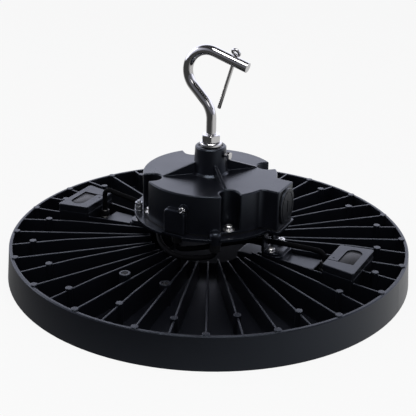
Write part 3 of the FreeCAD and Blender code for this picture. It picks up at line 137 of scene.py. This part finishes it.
class Graph:
    """A node tree that is filled node by node."""

    def __init__(self, tree: bpy.types.NodeTree) -> None:
        """Wraps a node tree, which keeps its nodes."""
        self.tree = tree

    @classmethod
    def emptied(cls, tree: bpy.types.NodeTree) -> "Graph":
        """A graph over a node tree whose nodes are cleared first."""
        tree.nodes.clear()
        return cls(tree)

    def find(self, kind: str) -> Step:
        """The first node of a type."""
        return Step(self, next(made for made in self.tree.nodes if made.bl_idname == kind))

    def node(self, kind: str, settings: dict[str, object] | None = None,
             inputs: dict[str | int, object] | None = None) -> Step:
        """Adds a node.

        Args:
            kind: the node's type.
            settings: its own settings, such as an operation or a ramp's stops.
            inputs: values or fields for its input sockets.

        Returns:
            The new node.
        """
        made = self.tree.nodes.new(kind)
        for name, value in (settings or {}).items():
            if name == "stops":
                self._set_stops(made, value)
            else:
                setattr(made, name, value)
        for name, value in (inputs or {}).items():
            if isinstance(value, Field):
                self.tree.links.new(value.socket, made.inputs[name])
            else:
                made.inputs[name].default_value = value
        return Step(self, made)

    @staticmethod
    def _set_stops(ramp: bpy.types.Node, stops: list[tuple[float, tuple[float, ...]]]) -> None:
        """Gives a colour ramp its stops.

        Args:
            ramp: a colour ramp node.
            stops: pairs of place and colour, at least two.
        """
        elements = ramp.color_ramp.elements
        while len(elements) < len(stops):
            elements.new(1.0)
        for element, (place, colour) in zip(elements, stops):
            element.position = place
            element.color = colour

    def place(self) -> Field:
        """Position in the object's own coordinates."""
        return self.node("ShaderNodeTexCoord").out("Object")

    def noise(self, scale: float, detail: float = 2.0, vector: Field | None = None,
              roughness: float = 0.5) -> Field:
        """Noise between about 0 and 1.

        Args:
            scale: features per metre.
            detail: octaves.
            vector: where to read it; the object's coordinates if left out.
            roughness: how strong the fine octaves are.

        Returns:
            The noise as a field.
        """
        inputs = {"Vector": vector or self.place(), "Scale": scale, "Detail": detail,
                  "Roughness": roughness}
        return self.node("ShaderNodeTexNoise", inputs=inputs).out(0)

    def mix_colour(self, share: object, first: object, second: object) -> Field:
        """Blend of two colours.

        Args:
            share: how much of the second, 0 to 1.
            first: a colour or a field.
            second: a colour or a field.

        Returns:
            The blended colour.
        """
        inputs = {MIX_SHARE: share, MIX_FIRST: as_colour(first), MIX_SECOND: as_colour(second)}
        return self.node("ShaderNodeMix", {"data_type": "RGBA"}, inputs).out(MIX_RESULT)

    def mix_shader(self, share: object, first: Step, second: Step) -> Step:
        """Blend of two shaders.

        Args:
            share: how much of the second, 0 to 1.
            first: a node whose first output is a shader.
            second: a node whose first output is a shader.

        Returns:
            The blending node.
        """
        return self.node("ShaderNodeMixShader",
                         inputs={0: share, 1: first.out(0), 2: second.out(0)})

    def fade(self, value: Field, start: float, end: float, low: float,
             high: float = 1.0) -> Field:
        """Smooth change from one number to another.

        Args:
            value: the field that drives it.
            start: where the change starts.
            end: where it ends.
            low: the result at the start.
            high: the result at the end.

        Returns:
            The faded field.
        """
        inputs = {"Value": value, "From Min": start, "From Max": end, "To Min": low,
                  "To Max": high}
        return self.node("ShaderNodeMapRange", {"interpolation_type": "SMOOTHSTEP"}, inputs).out(0)

    def along(self, vector: Field, direction: Triple) -> Field:
        """How far a vector reaches along a direction."""
        return self.node("ShaderNodeVectorMath", {"operation": "DOT_PRODUCT"},
                         {0: vector, 1: direction}).out("Value")

    def scaled(self, vector: Field, scale: Triple) -> Field:
        """A vector with each of its parts scaled."""
        inputs = {"Vector": vector, "Scale": scale}
        return self.node("ShaderNodeMapping", inputs=inputs).out("Vector")

    def height(self, vector: Field) -> Field:
        """The upright part of a vector."""
        return self.node("ShaderNodeSeparateXYZ", inputs={0: vector}).out("Z")

    def glow(self, strength: float) -> Step:
        """A shader that gives off white light."""
        return self.node("ShaderNodeEmission",
                         inputs={"Color": as_colour(WHITE), "Strength": strength})

    def bump(self, height: Field, depth: float, edge: Field | None = None) -> Field:
        """Normal from a height field.

        Args:
            height: the height, 0 to 1.
            depth: its real depth in metres.
            edge: a normal to start from; the surface's own if left out.

        Returns:
            The bumped normal.
        """
        inputs = {"Height": height, "Distance": depth, "Strength": 1.0}
        if edge is not None:
            inputs["Normal"] = edge
        return self.node("ShaderNodeBump", inputs=inputs).out("Normal")

    def soft_edge(self, radius: float) -> Field:
        """Normal that rounds sharp edges over.

        Args:
            radius: how far the rounding reaches, in metres.

        Returns:
            The rounded normal.
        """
        return self.node("ShaderNodeBevel", {"samples": EDGE_SAMPLES},
                         {"Radius": radius}).out("Normal")


def as_colour(value: object) -> object:
    """A colour with its alpha, or a field as it is."""
    return value if isinstance(value, Field) else (*value, 1.0)


def shade(colour: Colour, share: float) -> Colour:
    """A colour with each of its parts times a share."""
    return tuple(part * share for part in colour)


# --- finishes ------------------------------------------------------------------------------------
@dataclass(frozen=True)
class Finish:
    """A surface finish that makes one material."""

    name: str
    colour: Colour

    def make(self) -> bpy.types.Material:
        """Makes the material.

        Returns:
            The finish as a Blender material.
        """
        material = bpy.data.materials.new(self.name)
        material.use_nodes = True
        graph = Graph.emptied(material.node_tree)
        shader = graph.node("ShaderNodeBsdfPrincipled", inputs=self.sockets(graph))
        graph.node("ShaderNodeOutputMaterial", inputs={"Surface": shader.out("BSDF")})
        material.diffuse_color = as_colour(self.colour)
        return material

    def sockets(self, graph: Graph) -> dict[str | int, object]:
        """Values and fields for the Principled shader."""
        return {"Base Color": as_colour(self.colour)}


@dataclass(frozen=True)
class PowderCoat(Finish):
    """Satin powder coat: a fine orange-peel skin with slightly uneven gloss."""

    roughness: float = 0.3
    gloss: float = 0.5
    tint: Colour = COOL_GLOSS
    grain: float = 1500.0
    patches: float = 45.0
    octaves: float = 3.0
    darkest: float = 0.8
    lightest: float = 1.25
    patch_roughness: float = 0.1
    peel_roughness: float = 0.06
    depth: float = 0.00003
    edge: float = 0.0012

    def sockets(self, graph: Graph) -> dict[str | int, object]:
        """Values and fields for the Principled shader.

        Args:
            graph: the material's graph, which the nodes are added to.

        Returns:
            What goes into each socket, by the socket's name.
        """
        peel = graph.noise(self.grain, self.octaves)
        broad = graph.noise(self.patches, self.octaves)
        tone = graph.mix_colour(broad, shade(self.colour, self.darkest),
                                shade(self.colour, self.lightest))
        return {
            "Base Color": tone,
            "Roughness": (self.roughness + (broad - MIDDLE) * self.patch_roughness
                          + (peel - MIDDLE) * self.peel_roughness),
            "Specular IOR Level": self.gloss,
            "Specular Tint": as_colour(self.tint),
            "Normal": graph.bump(peel, self.depth, edge=graph.soft_edge(self.edge)),
        }


@dataclass(frozen=True)
class PaintedShadeCoat(PowderCoat):
    """Powder coat with painted shade: matt and almost unreflective low down under the driver, where
    its shadow falls, and satin everywhere else.
    """

    roughness: float = 0.32
    # Painted shade under the driver: full within the inner reach, gone at the outer reach, and only
    # below the given height.
    dull_inner: float = 0.056
    dull_outer: float = 0.074
    dull_share: float = 0.96
    dull_below: float = 0.024
    dull_roughness: float = 0.9
    dull_gloss: float = 0.04

    def make(self) -> bpy.types.Material:
        """Makes the material.

        Returns:
            The finish as a Blender material.
        """
        material = super().make()
        graph = Graph(material.node_tree)
        satin = graph.find("ShaderNodeBsdfPrincipled")
        output = graph.find("ShaderNodeOutputMaterial")
        flat = graph.scaled(graph.place(), (1.0, 1.0, 0.0))
        reach = graph.node("ShaderNodeVectorMath", {"operation": "LENGTH"}, {0: flat}).out("Value")
        # Painted shade: inside this area the coat is mixed into a matt, nearly unreflective black
        # that stands in for the driver's shadow.
        painted_shade_area = graph.fade(reach, self.dull_inner, self.dull_outer, self.dull_share, 0.0)
        low = 1.0 - (graph.height(graph.place()) > self.dull_below)
        matt = graph.node("ShaderNodeBsdfPrincipled",
                          inputs={"Base Color": as_colour(self.colour),
                                  "Roughness": self.dull_roughness,
                                  "Specular IOR Level": self.dull_gloss})
        both = graph.mix_shader(painted_shade_area * low, satin, matt)
        graph.tree.links.new(both.out(0).socket, output.made.inputs["Surface"])
        return material


@dataclass(frozen=True)
class Moulding(Finish):
    """Moulded plastic with a spark-eroded grain."""

    roughness: float = 0.42
    gloss: float = 0.4
    tint: Colour = WHITE
    grain: float = 2600.0
    patches: float = 60.0
    darkest: float = 0.85
    lightest: float = 1.15
    patch_roughness: float = 0.12
    depth: float = 0.00002

    def sockets(self, graph: Graph) -> dict[str | int, object]:
        """Values and fields for the Principled shader.

        Args:
            graph: the material's graph, which the nodes are added to.

        Returns:
            What goes into each socket, by the socket's name.
        """
        cells = {"Vector": graph.place(), "Scale": self.grain}
        spark = graph.node("ShaderNodeTexVoronoi", inputs=cells).out("Distance")
        broad = graph.noise(self.patches)
        tone = graph.mix_colour(broad, shade(self.colour, self.darkest),
                                shade(self.colour, self.lightest))
        return {
            "Base Color": tone,
            "Roughness": self.roughness + (broad - MIDDLE) * self.patch_roughness,
            "Specular IOR Level": self.gloss,
            "Specular Tint": as_colour(self.tint),
            "Normal": graph.bump(spark, self.depth),
        }


@dataclass(frozen=True)
class Metal(Finish):
    """Bare or plated metal with fine drawing marks."""

    roughness: float
    marks: float = 700.0
    mark_octaves: float = 4.0
    mark_harshness: float = 0.65
    stretch: Triple = (1.0, 1.0, 0.12)
    smears: float = 90.0
    darkest: float = 0.86
    mark_roughness: float = 0.08
    smear_roughness: float = 0.06
    depth: float = 0.00001
    edge: float = 0.0008

    def sockets(self, graph: Graph) -> dict[str | int, object]:
        """Values and fields for the Principled shader.

        Args:
            graph: the material's graph, which the nodes are added to.

        Returns:
            What goes into each socket, by the socket's name.
        """
        drawn = graph.scaled(graph.place(), self.stretch)
        scratch = graph.noise(self.marks, self.mark_octaves, drawn, self.mark_harshness)
        smear = graph.noise(self.smears)
        tone = graph.mix_colour(smear, shade(self.colour, self.darkest), self.colour)
        return {
            "Base Color": tone,
            "Metallic": 1.0,
            "Roughness": (self.roughness + (scratch - MIDDLE) * self.mark_roughness
                          + (smear - MIDDLE) * self.smear_roughness),
            "Normal": graph.bump(scratch, self.depth, edge=graph.soft_edge(self.edge)),
        }


@dataclass(frozen=True)
class ClearPlastic(Finish):
    """Clear moulded lens material."""

    roughness: float = 0.06
    patches: float = 80.0
    patch_roughness: float = 0.04
    ior: float = 1.49

    def sockets(self, graph: Graph) -> dict[str | int, object]:
        """Values and fields for the Principled shader.

        Args:
            graph: the material's graph, which the nodes are added to.

        Returns:
            What goes into each socket, by the socket's name.
        """
        return {
            "Base Color": as_colour(self.colour),
            "Roughness": self.roughness + graph.noise(self.patches) * self.patch_roughness,
            "Transmission Weight": 1.0,
            "IOR": self.ior,
        }


class Slot(Enum):
    """Material slots of the record, each with its finish."""

    coated_casting = PowderCoat("satin_black_casting", BLACK_COAT)
    coated_sheet = PowderCoat("satin_black_sheet", BLACK_COAT, roughness=0.28)
    cover_plastic = Moulding("black_cover_plastic", (0.0026, 0.0027, 0.0038), roughness=0.34,
                             gloss=0.5, tint=COOL_GLOSS)
    gland_plastic = Moulding("black_nylon", (0.003, 0.003, 0.0036), roughness=0.38, gloss=0.35)
    cable_jacket = Moulding("cable_jacket", (0.0012, 0.0012, 0.0018), roughness=0.72, gloss=0.05,
                            grain=1600.0)
    seal_rubber = Moulding("seal_rubber", (0.003, 0.003, 0.0034), roughness=0.5, gloss=0.3)
    stainless = Metal("polished_stainless", (0.66, 0.65, 0.65), roughness=0.1)
    zinc_steel = Metal("bright_zinc", (0.42, 0.43, 0.46), roughness=0.36)
    board = PowderCoat("white_solder_mask", (0.78, 0.79, 0.78))
    led = Moulding("phosphor", (0.86, 0.72, 0.2), roughness=0.3, gloss=0.5)
    lens = ClearPlastic("clear_lens", (0.97, 0.98, 0.985))
    circuit = PowderCoat("circuit_green", (0.012, 0.09, 0.03))
    pillar_plastic = Moulding("natural_nylon", (0.68, 0.67, 0.62))
    winding = Moulding("wound_core", (0.42, 0.26, 0.03))
    capacitor_sleeve = Moulding("shrink_sleeve", (0.01, 0.012, 0.025), roughness=0.2)


FINER_FINISHES: tuple[tuple[Finish, tuple[str, ...]], ...] = (
    # The heat sink's coat has painted shade under the driver.
    (PaintedShadeCoat("satin_black_heat_sink_painted_shade", BLACK_COAT), ("heat_sink",)),
    (Metal("satin_fastener_steel", (0.78, 0.77, 0.76), roughness=0.3),
     ("cap_screws", "cap_washers", "cap_spring_washers", "foot_screws")),
)


class Wardrobe:
    """Makes each slot's material once and dresses pieces with it."""

    def __init__(self) -> None:
        """Starts with no material made."""
        self._made: dict[Slot, bpy.types.Material] = {}

    def material(self, slot: Slot) -> bpy.types.Material:
        """Gives a slot's material, which is made when it is first asked for.

        Args:
            slot: the slot.

        Returns:
            Its material.
        """
        if slot not in self._made:
            self._made[slot] = slot.value.make()
        return self._made[slot]

    def dress(self, piece: bpy.types.Object, slot: Slot) -> None:
        """Puts a slot's material on every material place of a piece.

        Args:
            piece: the object to dress.
            slot: the finish that it takes.
        """
        if not piece.material_slots:
            piece.data.materials.append(self.material(slot))
        for place in piece.material_slots:
            place.material = self.material(slot)

    def dress_frame(self) -> None:
        """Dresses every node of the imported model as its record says."""
        record = frame["record"]
        for entry in record["subparts"]:
            self.dress(frame["nodes"][entry["node"]], Slot[entry["material_slot"]])
        LOG.info("dressed %d packed nodes", len(record["subparts"]))

    @staticmethod
    def refine_frame() -> None:
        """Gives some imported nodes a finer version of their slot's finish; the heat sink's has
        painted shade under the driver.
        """
        for finish, nodes in FINER_FINISHES:
            material = finish.make()
            for name in nodes:
                for place in frame["nodes"][name].material_slots:
                    place.material = material
            LOG.info("%s on %s", finish.name, ", ".join(nodes))


# --- small added pieces --------------------------------------------------------------------------
@dataclass
class SmallPieces:
    """Shared ways to shape, place and dress the small added pieces."""

    wardrobe: Wardrobe

    def finish(self, name: str, shape: bmesh.types.BMesh, slot: Slot) -> bpy.types.Object:
        """Makes a closed shape into a dressed piece that rides on the body.

        Args:
            name: the piece's name.
            shape: the shape in the frame, which is freed.
            slot: the finish that it takes.

        Returns:
            The new piece.
        """
        bmesh.ops.remove_doubles(shape, verts=shape.verts, dist=MERGE_DISTANCE)
        bmesh.ops.recalc_face_normals(shape, faces=shape.faces)
        mesh = bpy.data.meshes.new(name)
        shape.to_mesh(mesh)
        shape.free()
        piece = bpy.data.objects.new(name, mesh)
        bpy.context.scene.collection.objects.link(piece)
        mesh.shade_smooth()
        mesh.set_sharp_from_angle(angle=SHARP_ANGLE)
        self.wardrobe.dress(piece, slot)
        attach(piece, "root")
        LOG.info("added %s", name)
        return piece

    @staticmethod
    def bevel(shape: bmesh.types.BMesh, edges: list[bmesh.types.BMEdge], offset: float,
              segments: int) -> None:
        """Rounds edges.

        Args:
            shape: the shape they belong to.
            edges: the edges.
            offset: how far the rounding reaches.
            segments: facets across it.
        """
        bmesh.ops.bevel(shape, geom=edges, affect="EDGES", offset=offset, segments=segments,
                        profile=0.5, material=-1)

    @staticmethod
    def put(shape: bmesh.types.BMesh, middle: Triple, spin: Matrix) -> None:
        """Moves a shape, then turns it about the frame's upright axis.

        Args:
            shape: the shape.
            middle: where its own origin goes before the turn.
            spin: the turn.
        """
        bmesh.ops.translate(shape, vec=middle, verts=shape.verts)
        bmesh.ops.rotate(shape, cent=(0, 0, 0), matrix=spin, verts=shape.verts)

    @staticmethod
    def turned(profile: list[tuple[float, float]], centre: Vector,
               steps: int = 28) -> bmesh.types.BMesh:
        """Solid of revolution about an upright axis.

        Args:
            profile: (radius, height) points from the axis round to the axis.
            centre: a point on the axis.
            steps: facets round it.

        Returns:
            The turned shape.
        """
        shape = bmesh.new()
        points = [shape.verts.new((radius, 0.0, height)) for radius, height in profile]
        lines = [shape.edges.new(pair) for pair in zip(points, points[1:])]
        bmesh.ops.spin(shape, geom=points + lines, cent=(0, 0, 0), axis=(0, 0, 1), dvec=(0, 0, 0),
                       angle=math.tau, steps=steps, use_merge=True, use_duplicate=False)
        bmesh.ops.translate(shape, vec=centre, verts=shape.verts)
        return shape


@dataclass
class CoverTrim(SmallPieces):
    """Dark grip in each cover's sunken panel, with a plain arrow beside it."""

    panel_inset: float = 0.0105
    panel_width: float = 0.016
    square_end: float = -0.012
    round_end: float = 0.020
    panel_depth: float = 0.0016
    gap: float = 0.0003
    grip_thickness: float = 0.0006
    end_share: float = 0.4999       # each rounded corner's share of the width, just short of half
    end_segments: int = 12
    edge_share: float = 0.4
    edge_segments: int = 2
    arrow_place: tuple[float, float] = (0.0047, -0.0055)
    arrow_radius: float = 0.0013
    arrow_taper: float = 0.8
    arrow_height: float = 0.0003

    def build(self) -> None:
        """Adds the grips and arrows of both covers."""
        low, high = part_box("box_cover_right")
        for side, turn in (("right", 0.0), ("left", math.pi)):
            spin = Matrix.Rotation(turn, 3, "Z")
            self._grip(f"cover_grip_{side}", low[0], high[2], spin)
            self._arrow(f"cover_arrow_{side}", low[0], high[2], spin)

    def _grip(self, name: str, inner: float, top: float, spin: Matrix) -> None:
        """Flat grip with one round end.

        Args:
            name: the piece's name.
            inner: where the cover starts on X.
            top: the cover's top.
            spin: turn about the upright axis.
        """
        width = self.panel_width - 2 * self.gap
        length = self.round_end - self.square_end - 2 * self.gap
        shape = bmesh.new()
        bmesh.ops.create_cube(shape, size=1.0)
        bmesh.ops.scale(shape, vec=(width, length, self.grip_thickness), verts=shape.verts)
        upright = [edge for edge in shape.edges
                   if abs(edge.verts[0].co.z - edge.verts[1].co.z) > self.grip_thickness / 2]
        self.bevel(shape, [edge for edge in upright if edge.verts[0].co.y > 0],
                   width * self.end_share, self.end_segments)
        rim = [edge for edge in shape.edges if min(vert.co.z for vert in edge.verts) > 0]
        self.bevel(shape, rim, self.grip_thickness * self.edge_share, self.edge_segments)
        middle = (inner + self.panel_inset + self.panel_width / 2,
                  (self.round_end + self.square_end) / 2,
                  top - self.panel_depth + self.grip_thickness / 2)
        self.put(shape, middle, spin)
        self.finish(name, shape, Slot.gland_plastic)

    def _arrow(self, name: str, inner: float, top: float, spin: Matrix) -> None:
        """Small raised arrowhead.

        Args:
            name: the piece's name.
            inner: where the cover starts on X.
            top: the cover's top.
            spin: turn about the upright axis.
        """
        shape = bmesh.new()
        bmesh.ops.create_cone(shape, cap_ends=True, segments=3, radius1=self.arrow_radius,
                              radius2=self.arrow_radius * self.arrow_taper,
                              depth=self.arrow_height)
        middle = (inner + self.arrow_place[0], self.arrow_place[1], top + self.arrow_height / 2)
        self.put(shape, middle, spin)
        self.finish(name, shape, Slot.cover_plastic)


@dataclass
class BossButtons(SmallPieces):
    """Domed buttons pressed into the counterbores of the four casting bosses."""

    places: tuple[tuple[float, float], ...] = ((0.1212, -102.5), (0.1182, -82.0))   # reach, degrees
    radius: float = 0.003
    bore_depth: float = 0.0026
    boss_rise: float = 0.0034       # both rises are from the rim's top
    box_rise: float = 0.004
    sink: float = 0.0003
    groove_depth: float = 0.0005
    dome_drop: float = 0.0001
    edge_drop: float = 0.0007

    def build(self) -> None:
        """Adds the four buttons."""
        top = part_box("box_cover_right")[0][2] - self.box_rise + self.boss_rise
        profile = self._profile()
        number = 0
        for reach, angle in self.places:
            for turn in (0.0, 180.0):
                number += 1
                around = math.radians(angle + turn)
                centre = Vector((reach * math.cos(around), reach * math.sin(around),
                                 top - self.bore_depth))
                self.finish(f"boss_button_{number}", self.turned(profile, centre),
                            Slot.gland_plastic)

    def _profile(self) -> list[tuple[float, float]]:
        """Half section of a button, with a ring-shaped groove in its dome.

        Returns:
            (radius, height) points from the axis over the dome and back to the axis.
        """
        height = self.bore_depth - self.sink
        dome = ((0.0, 0.0), (0.2, 0.0), (0.3, self.groove_depth), (0.42, self.groove_depth),
                (0.52, 0.0), (0.8, self.dome_drop), (1.0, self.edge_drop))
        crown = [(self.radius * share, height - drop) for share, drop in dome]
        return crown + [(self.radius, 0.0), (0.0, 0.0)]


@dataclass
class PlugBead(SmallPieces):
    """Raised oval bead on the end plug's face."""

    inset: float = 0.0028
    width: float = 0.0009
    height: float = 0.0004
    segments: int = 56

    def build(self) -> None:
        """Adds the bead on the plug's face."""
        low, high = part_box("end_plug")
        half_y = (high[1] - low[1]) / 2 - self.inset
        half_z = (high[2] - low[2]) / 2 - self.inset
        shape = bmesh.new()
        bmesh.ops.create_circle(shape, cap_ends=True, segments=self.segments, radius=1.0)
        turn = Matrix.Rotation(math.pi / 2, 3, "Y")
        bmesh.ops.rotate(shape, cent=(0, 0, 0), matrix=turn, verts=shape.verts)
        bmesh.ops.scale(shape, vec=(1.0, half_y, half_z), verts=shape.verts)
        disc = shape.faces[:]
        bmesh.ops.inset_region(shape, faces=disc, thickness=self.width, use_boundary=True,
                               use_even_offset=True)
        bmesh.ops.delete(shape, geom=disc, context="FACES")
        bmesh.ops.translate(shape, vec=(high[0] + self.height, (low[1] + high[1]) / 2,
                                        (low[2] + high[2]) / 2), verts=shape.verts)
        ring = shape.faces[:]
        grown = bmesh.ops.extrude_face_region(shape, geom=ring, use_keep_orig=True)
        moved = [item for item in grown["geom"] if isinstance(item, bmesh.types.BMVert)]
        bmesh.ops.translate(shape, vec=(-self.height * 2, 0, 0), verts=moved)
        self.finish("end_plug_bead", shape, Slot.cover_plastic)


# --- studio --------------------------------------------------------------------------------------
@dataclass(frozen=True)
class SoftBox:
    """A rectangular lamp aimed at a point, with its power in watts."""

    name: str
    place: Triple
    target: Triple
    size: tuple[float, float]
    power: float

    def build(self) -> None:
        """Adds the lamp to the scene."""
        lamp = bpy.data.lights.new(self.name, "AREA")
        lamp.shape = "RECTANGLE"
        lamp.size, lamp.size_y = self.size
        lamp.energy = self.power
        made = bpy.data.objects.new(self.name, lamp)
        aim = Vector(self.target) - Vector(self.place)
        turn = aim.to_track_quat("-Z", "Y").to_matrix().to_4x4()
        made.matrix_world = Matrix.Translation(self.place) @ turn
        bpy.context.scene.collection.objects.link(made)


@dataclass
class Studio:
    """White floor and backdrop, four soft lamps, and surroundings for the metal to mirror.

    The camera sees white all round. Glossy rays see something else: surroundings that are bright
    low down at the back and dim overhead and in front, and a floor that dims towards the front.
    """

    lamps: tuple[SoftBox, ...] = (
        SoftBox("overhead_near", (0.36, -0.62, 1.74), (0.0, 0.0, 0.1), (1.5, 0.3), 11.0),
        SoftBox("overhead_far", (0.22, -0.2, 1.86), (0.0, 0.0, 0.1), (1.5, 0.3), 11.0),
        SoftBox("side", (-1.9, -0.4, 0.9), (0.0, 0.0, 0.1), (0.5, 1.2), 4.4),
        SoftBox("front", (1.6, -1.5, 1.3), (0.0, 0.0, 0.05), (0.5, 0.7), 2.8),
    )
    floor_size: float = 16.0
    floor_tone: float = 0.5
    floor_glow: float = 0.99
    floor_glow_share: float = 0.9   # the rest is the matt floor, which keeps the shadow
    glow_side: Triple = (0.36, 0.93, 0.0)
    glow_start: float = 0.12
    glow_end: float = -0.34
    mirror_dim: float = 0.25
    surround: float = 0.06
    sky_low: float = 1.6
    sky_low_tint: Colour = (0.98, 1.0, 1.16)
    sky_low_top: float = 0.43       # heights are upright parts of a direction, 0 to 1
    sky_high: float = 0.055
    sky_high_tint: Colour = (1.0, 1.0, 1.06)
    sky_high_foot: float = 0.68
    bright_side: Triple = (-0.46, 0.888, 0.0)
    bright_start: float = -0.75
    bright_full: float = 0.3
    dim_side: float = 0.1
    fill: Colour = (0.55, 0.56, 0.58)   # what lights the matt surfaces

    def build(self) -> None:
        """Makes the floor, the world and the lamps."""
        self._floor()
        self._world()
        for lamp in self.lamps:
            lamp.build()
        bpy.context.scene.view_settings.view_transform = "Standard"
        LOG.info("studio ready")

    @staticmethod
    def _seen(graph: Graph) -> Field:
        """Tells the rays that see a surface from those that only light another.

        Args:
            graph: the graph, which the nodes are added to.

        Returns:
            One for camera, glossy and transmission rays, else zero.
        """
        path = graph.node("ShaderNodeLightPath")
        glossy = path.out("Is Glossy Ray").either(path.out("Is Transmission Ray"))
        return path.out("Is Camera Ray").either(glossy)

    def _floor(self) -> None:
        """Adds the floor as a flat sheet."""
        shape = bmesh.new()
        bmesh.ops.create_grid(shape, x_segments=1, y_segments=1, size=self.floor_size / 2)
        mesh = bpy.data.meshes.new("floor")
        shape.to_mesh(mesh)
        shape.free()
        floor = bpy.data.objects.new("floor", mesh)
        bpy.context.scene.collection.objects.link(floor)
        mesh.materials.append(self._floor_white())

    def _floor_white(self) -> bpy.types.Material:
        """Makes a white that keeps a soft shadow, dims to the front when mirrored, and is
        clear from below.

        Returns:
            The floor's material.
        """
        material = bpy.data.materials.new("floor_white")
        material.use_nodes = True
        graph = Graph.emptied(material.node_tree)
        tone = as_colour(shade(WHITE, self.floor_tone))
        matt = graph.node("ShaderNodeBsdfDiffuse", inputs={"Color": tone})
        white = graph.mix_shader(self._seen(graph) * self.floor_glow_share, matt,
                                 graph.glow(self.floor_glow))
        reach = graph.along(graph.place(), self.glow_side)
        dimmed = graph.fade(reach, self.glow_start, self.glow_end, self.mirror_dim)
        mirrored = graph.node("ShaderNodeLightPath").out("Is Glossy Ray")
        above = graph.mix_shader(mirrored * dimmed, white, graph.glow(self.surround))
        below = graph.node("ShaderNodeNewGeometry").out("Backfacing")
        both = graph.mix_shader(below, above, graph.node("ShaderNodeBsdfTransparent"))
        graph.node("ShaderNodeOutputMaterial", inputs={"Surface": both.out(0)})
        return material

    def _world(self) -> None:
        """White to the camera; to glossy rays, bright low down at the back and dim elsewhere."""
        world = bpy.data.worlds.new("studio")
        world.use_nodes = True
        bpy.context.scene.world = world
        graph = Graph.emptied(world.node_tree)
        path = graph.node("ShaderNodeLightPath")
        direction = graph.node("ShaderNodeTexCoord").out("Generated")
        low = as_colour(shade(self.sky_low_tint, self.sky_low))
        high = as_colour(shade(self.sky_high_tint, self.sky_high))
        stops = [(0.0, low), (self.sky_low_top, low), (self.sky_high_foot, high), (1.0, high)]
        band = graph.node("ShaderNodeValToRGB", {"stops": stops},
                          {"Fac": graph.height(direction)}).out(0)
        towards = graph.along(direction, self.bright_side)
        share = graph.fade(towards, self.bright_start, self.bright_full, self.dim_side)
        surroundings = graph.mix_colour(share, BLACK, band)
        white = path.out("Is Camera Ray").either(path.out("Is Transmission Ray"))
        seen = graph.mix_colour(white, surroundings, WHITE)
        soft = graph.mix_colour(self._seen(graph), self.fill, seen)
        backdrop = graph.node("ShaderNodeBackground", inputs={"Color": soft, "Strength": 1.0})
        graph.node("ShaderNodeOutputWorld", inputs={"Surface": backdrop.out(0)})


@dataclass
class ViewPoint:
    """Camera placed by its direction and distance from a point above the floor.

    Angles are in degrees, and the lens and the sensor in millimetres.
    """

    azimuth: float = 27.354
    elevation: float = 23.449
    distance: float = 0.9917
    target: Vector = field(default_factory=lambda: Vector((-0.0014, -0.0007, 0.0623)))
    roll: float = 1.096
    lens: float = 85.39
    sensor: float = 36.0
    nearest: float = 0.02

    def build(self) -> None:
        """Makes the camera and sets it as the scene's."""
        around = math.radians(self.azimuth)
        up = math.radians(self.elevation)
        back = Vector((math.sin(around) * math.cos(up), -math.cos(around) * math.cos(up),
                       math.sin(up)))
        camera = bpy.data.cameras.new("camera")
        camera.lens = self.lens
        camera.sensor_width = self.sensor
        camera.clip_start = self.nearest
        made = bpy.data.objects.new("camera", camera)
        turn = back.to_track_quat("Z", "Y").to_matrix().to_4x4()
        roll = Matrix.Rotation(math.radians(self.roll), 4, "Z")
        made.matrix_world = Matrix.Translation(self.target + back * self.distance) @ turn @ roll
        bpy.context.scene.collection.objects.link(made)
        bpy.context.scene.camera = made
        LOG.info("camera ready")


def main() -> None:
    """Builds the scene."""
    logging.basicConfig(level=logging.INFO, format="%(message)s")
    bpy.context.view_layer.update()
    ViewPoint().build()
    Studio().build()
    wardrobe = Wardrobe()
    wardrobe.dress_frame()
    wardrobe.refine_frame()
    for assembly in (CoverTrim, BossButtons, PlugBead):
        assembly(wardrobe).build()


if __name__ == "__main__":
    main()
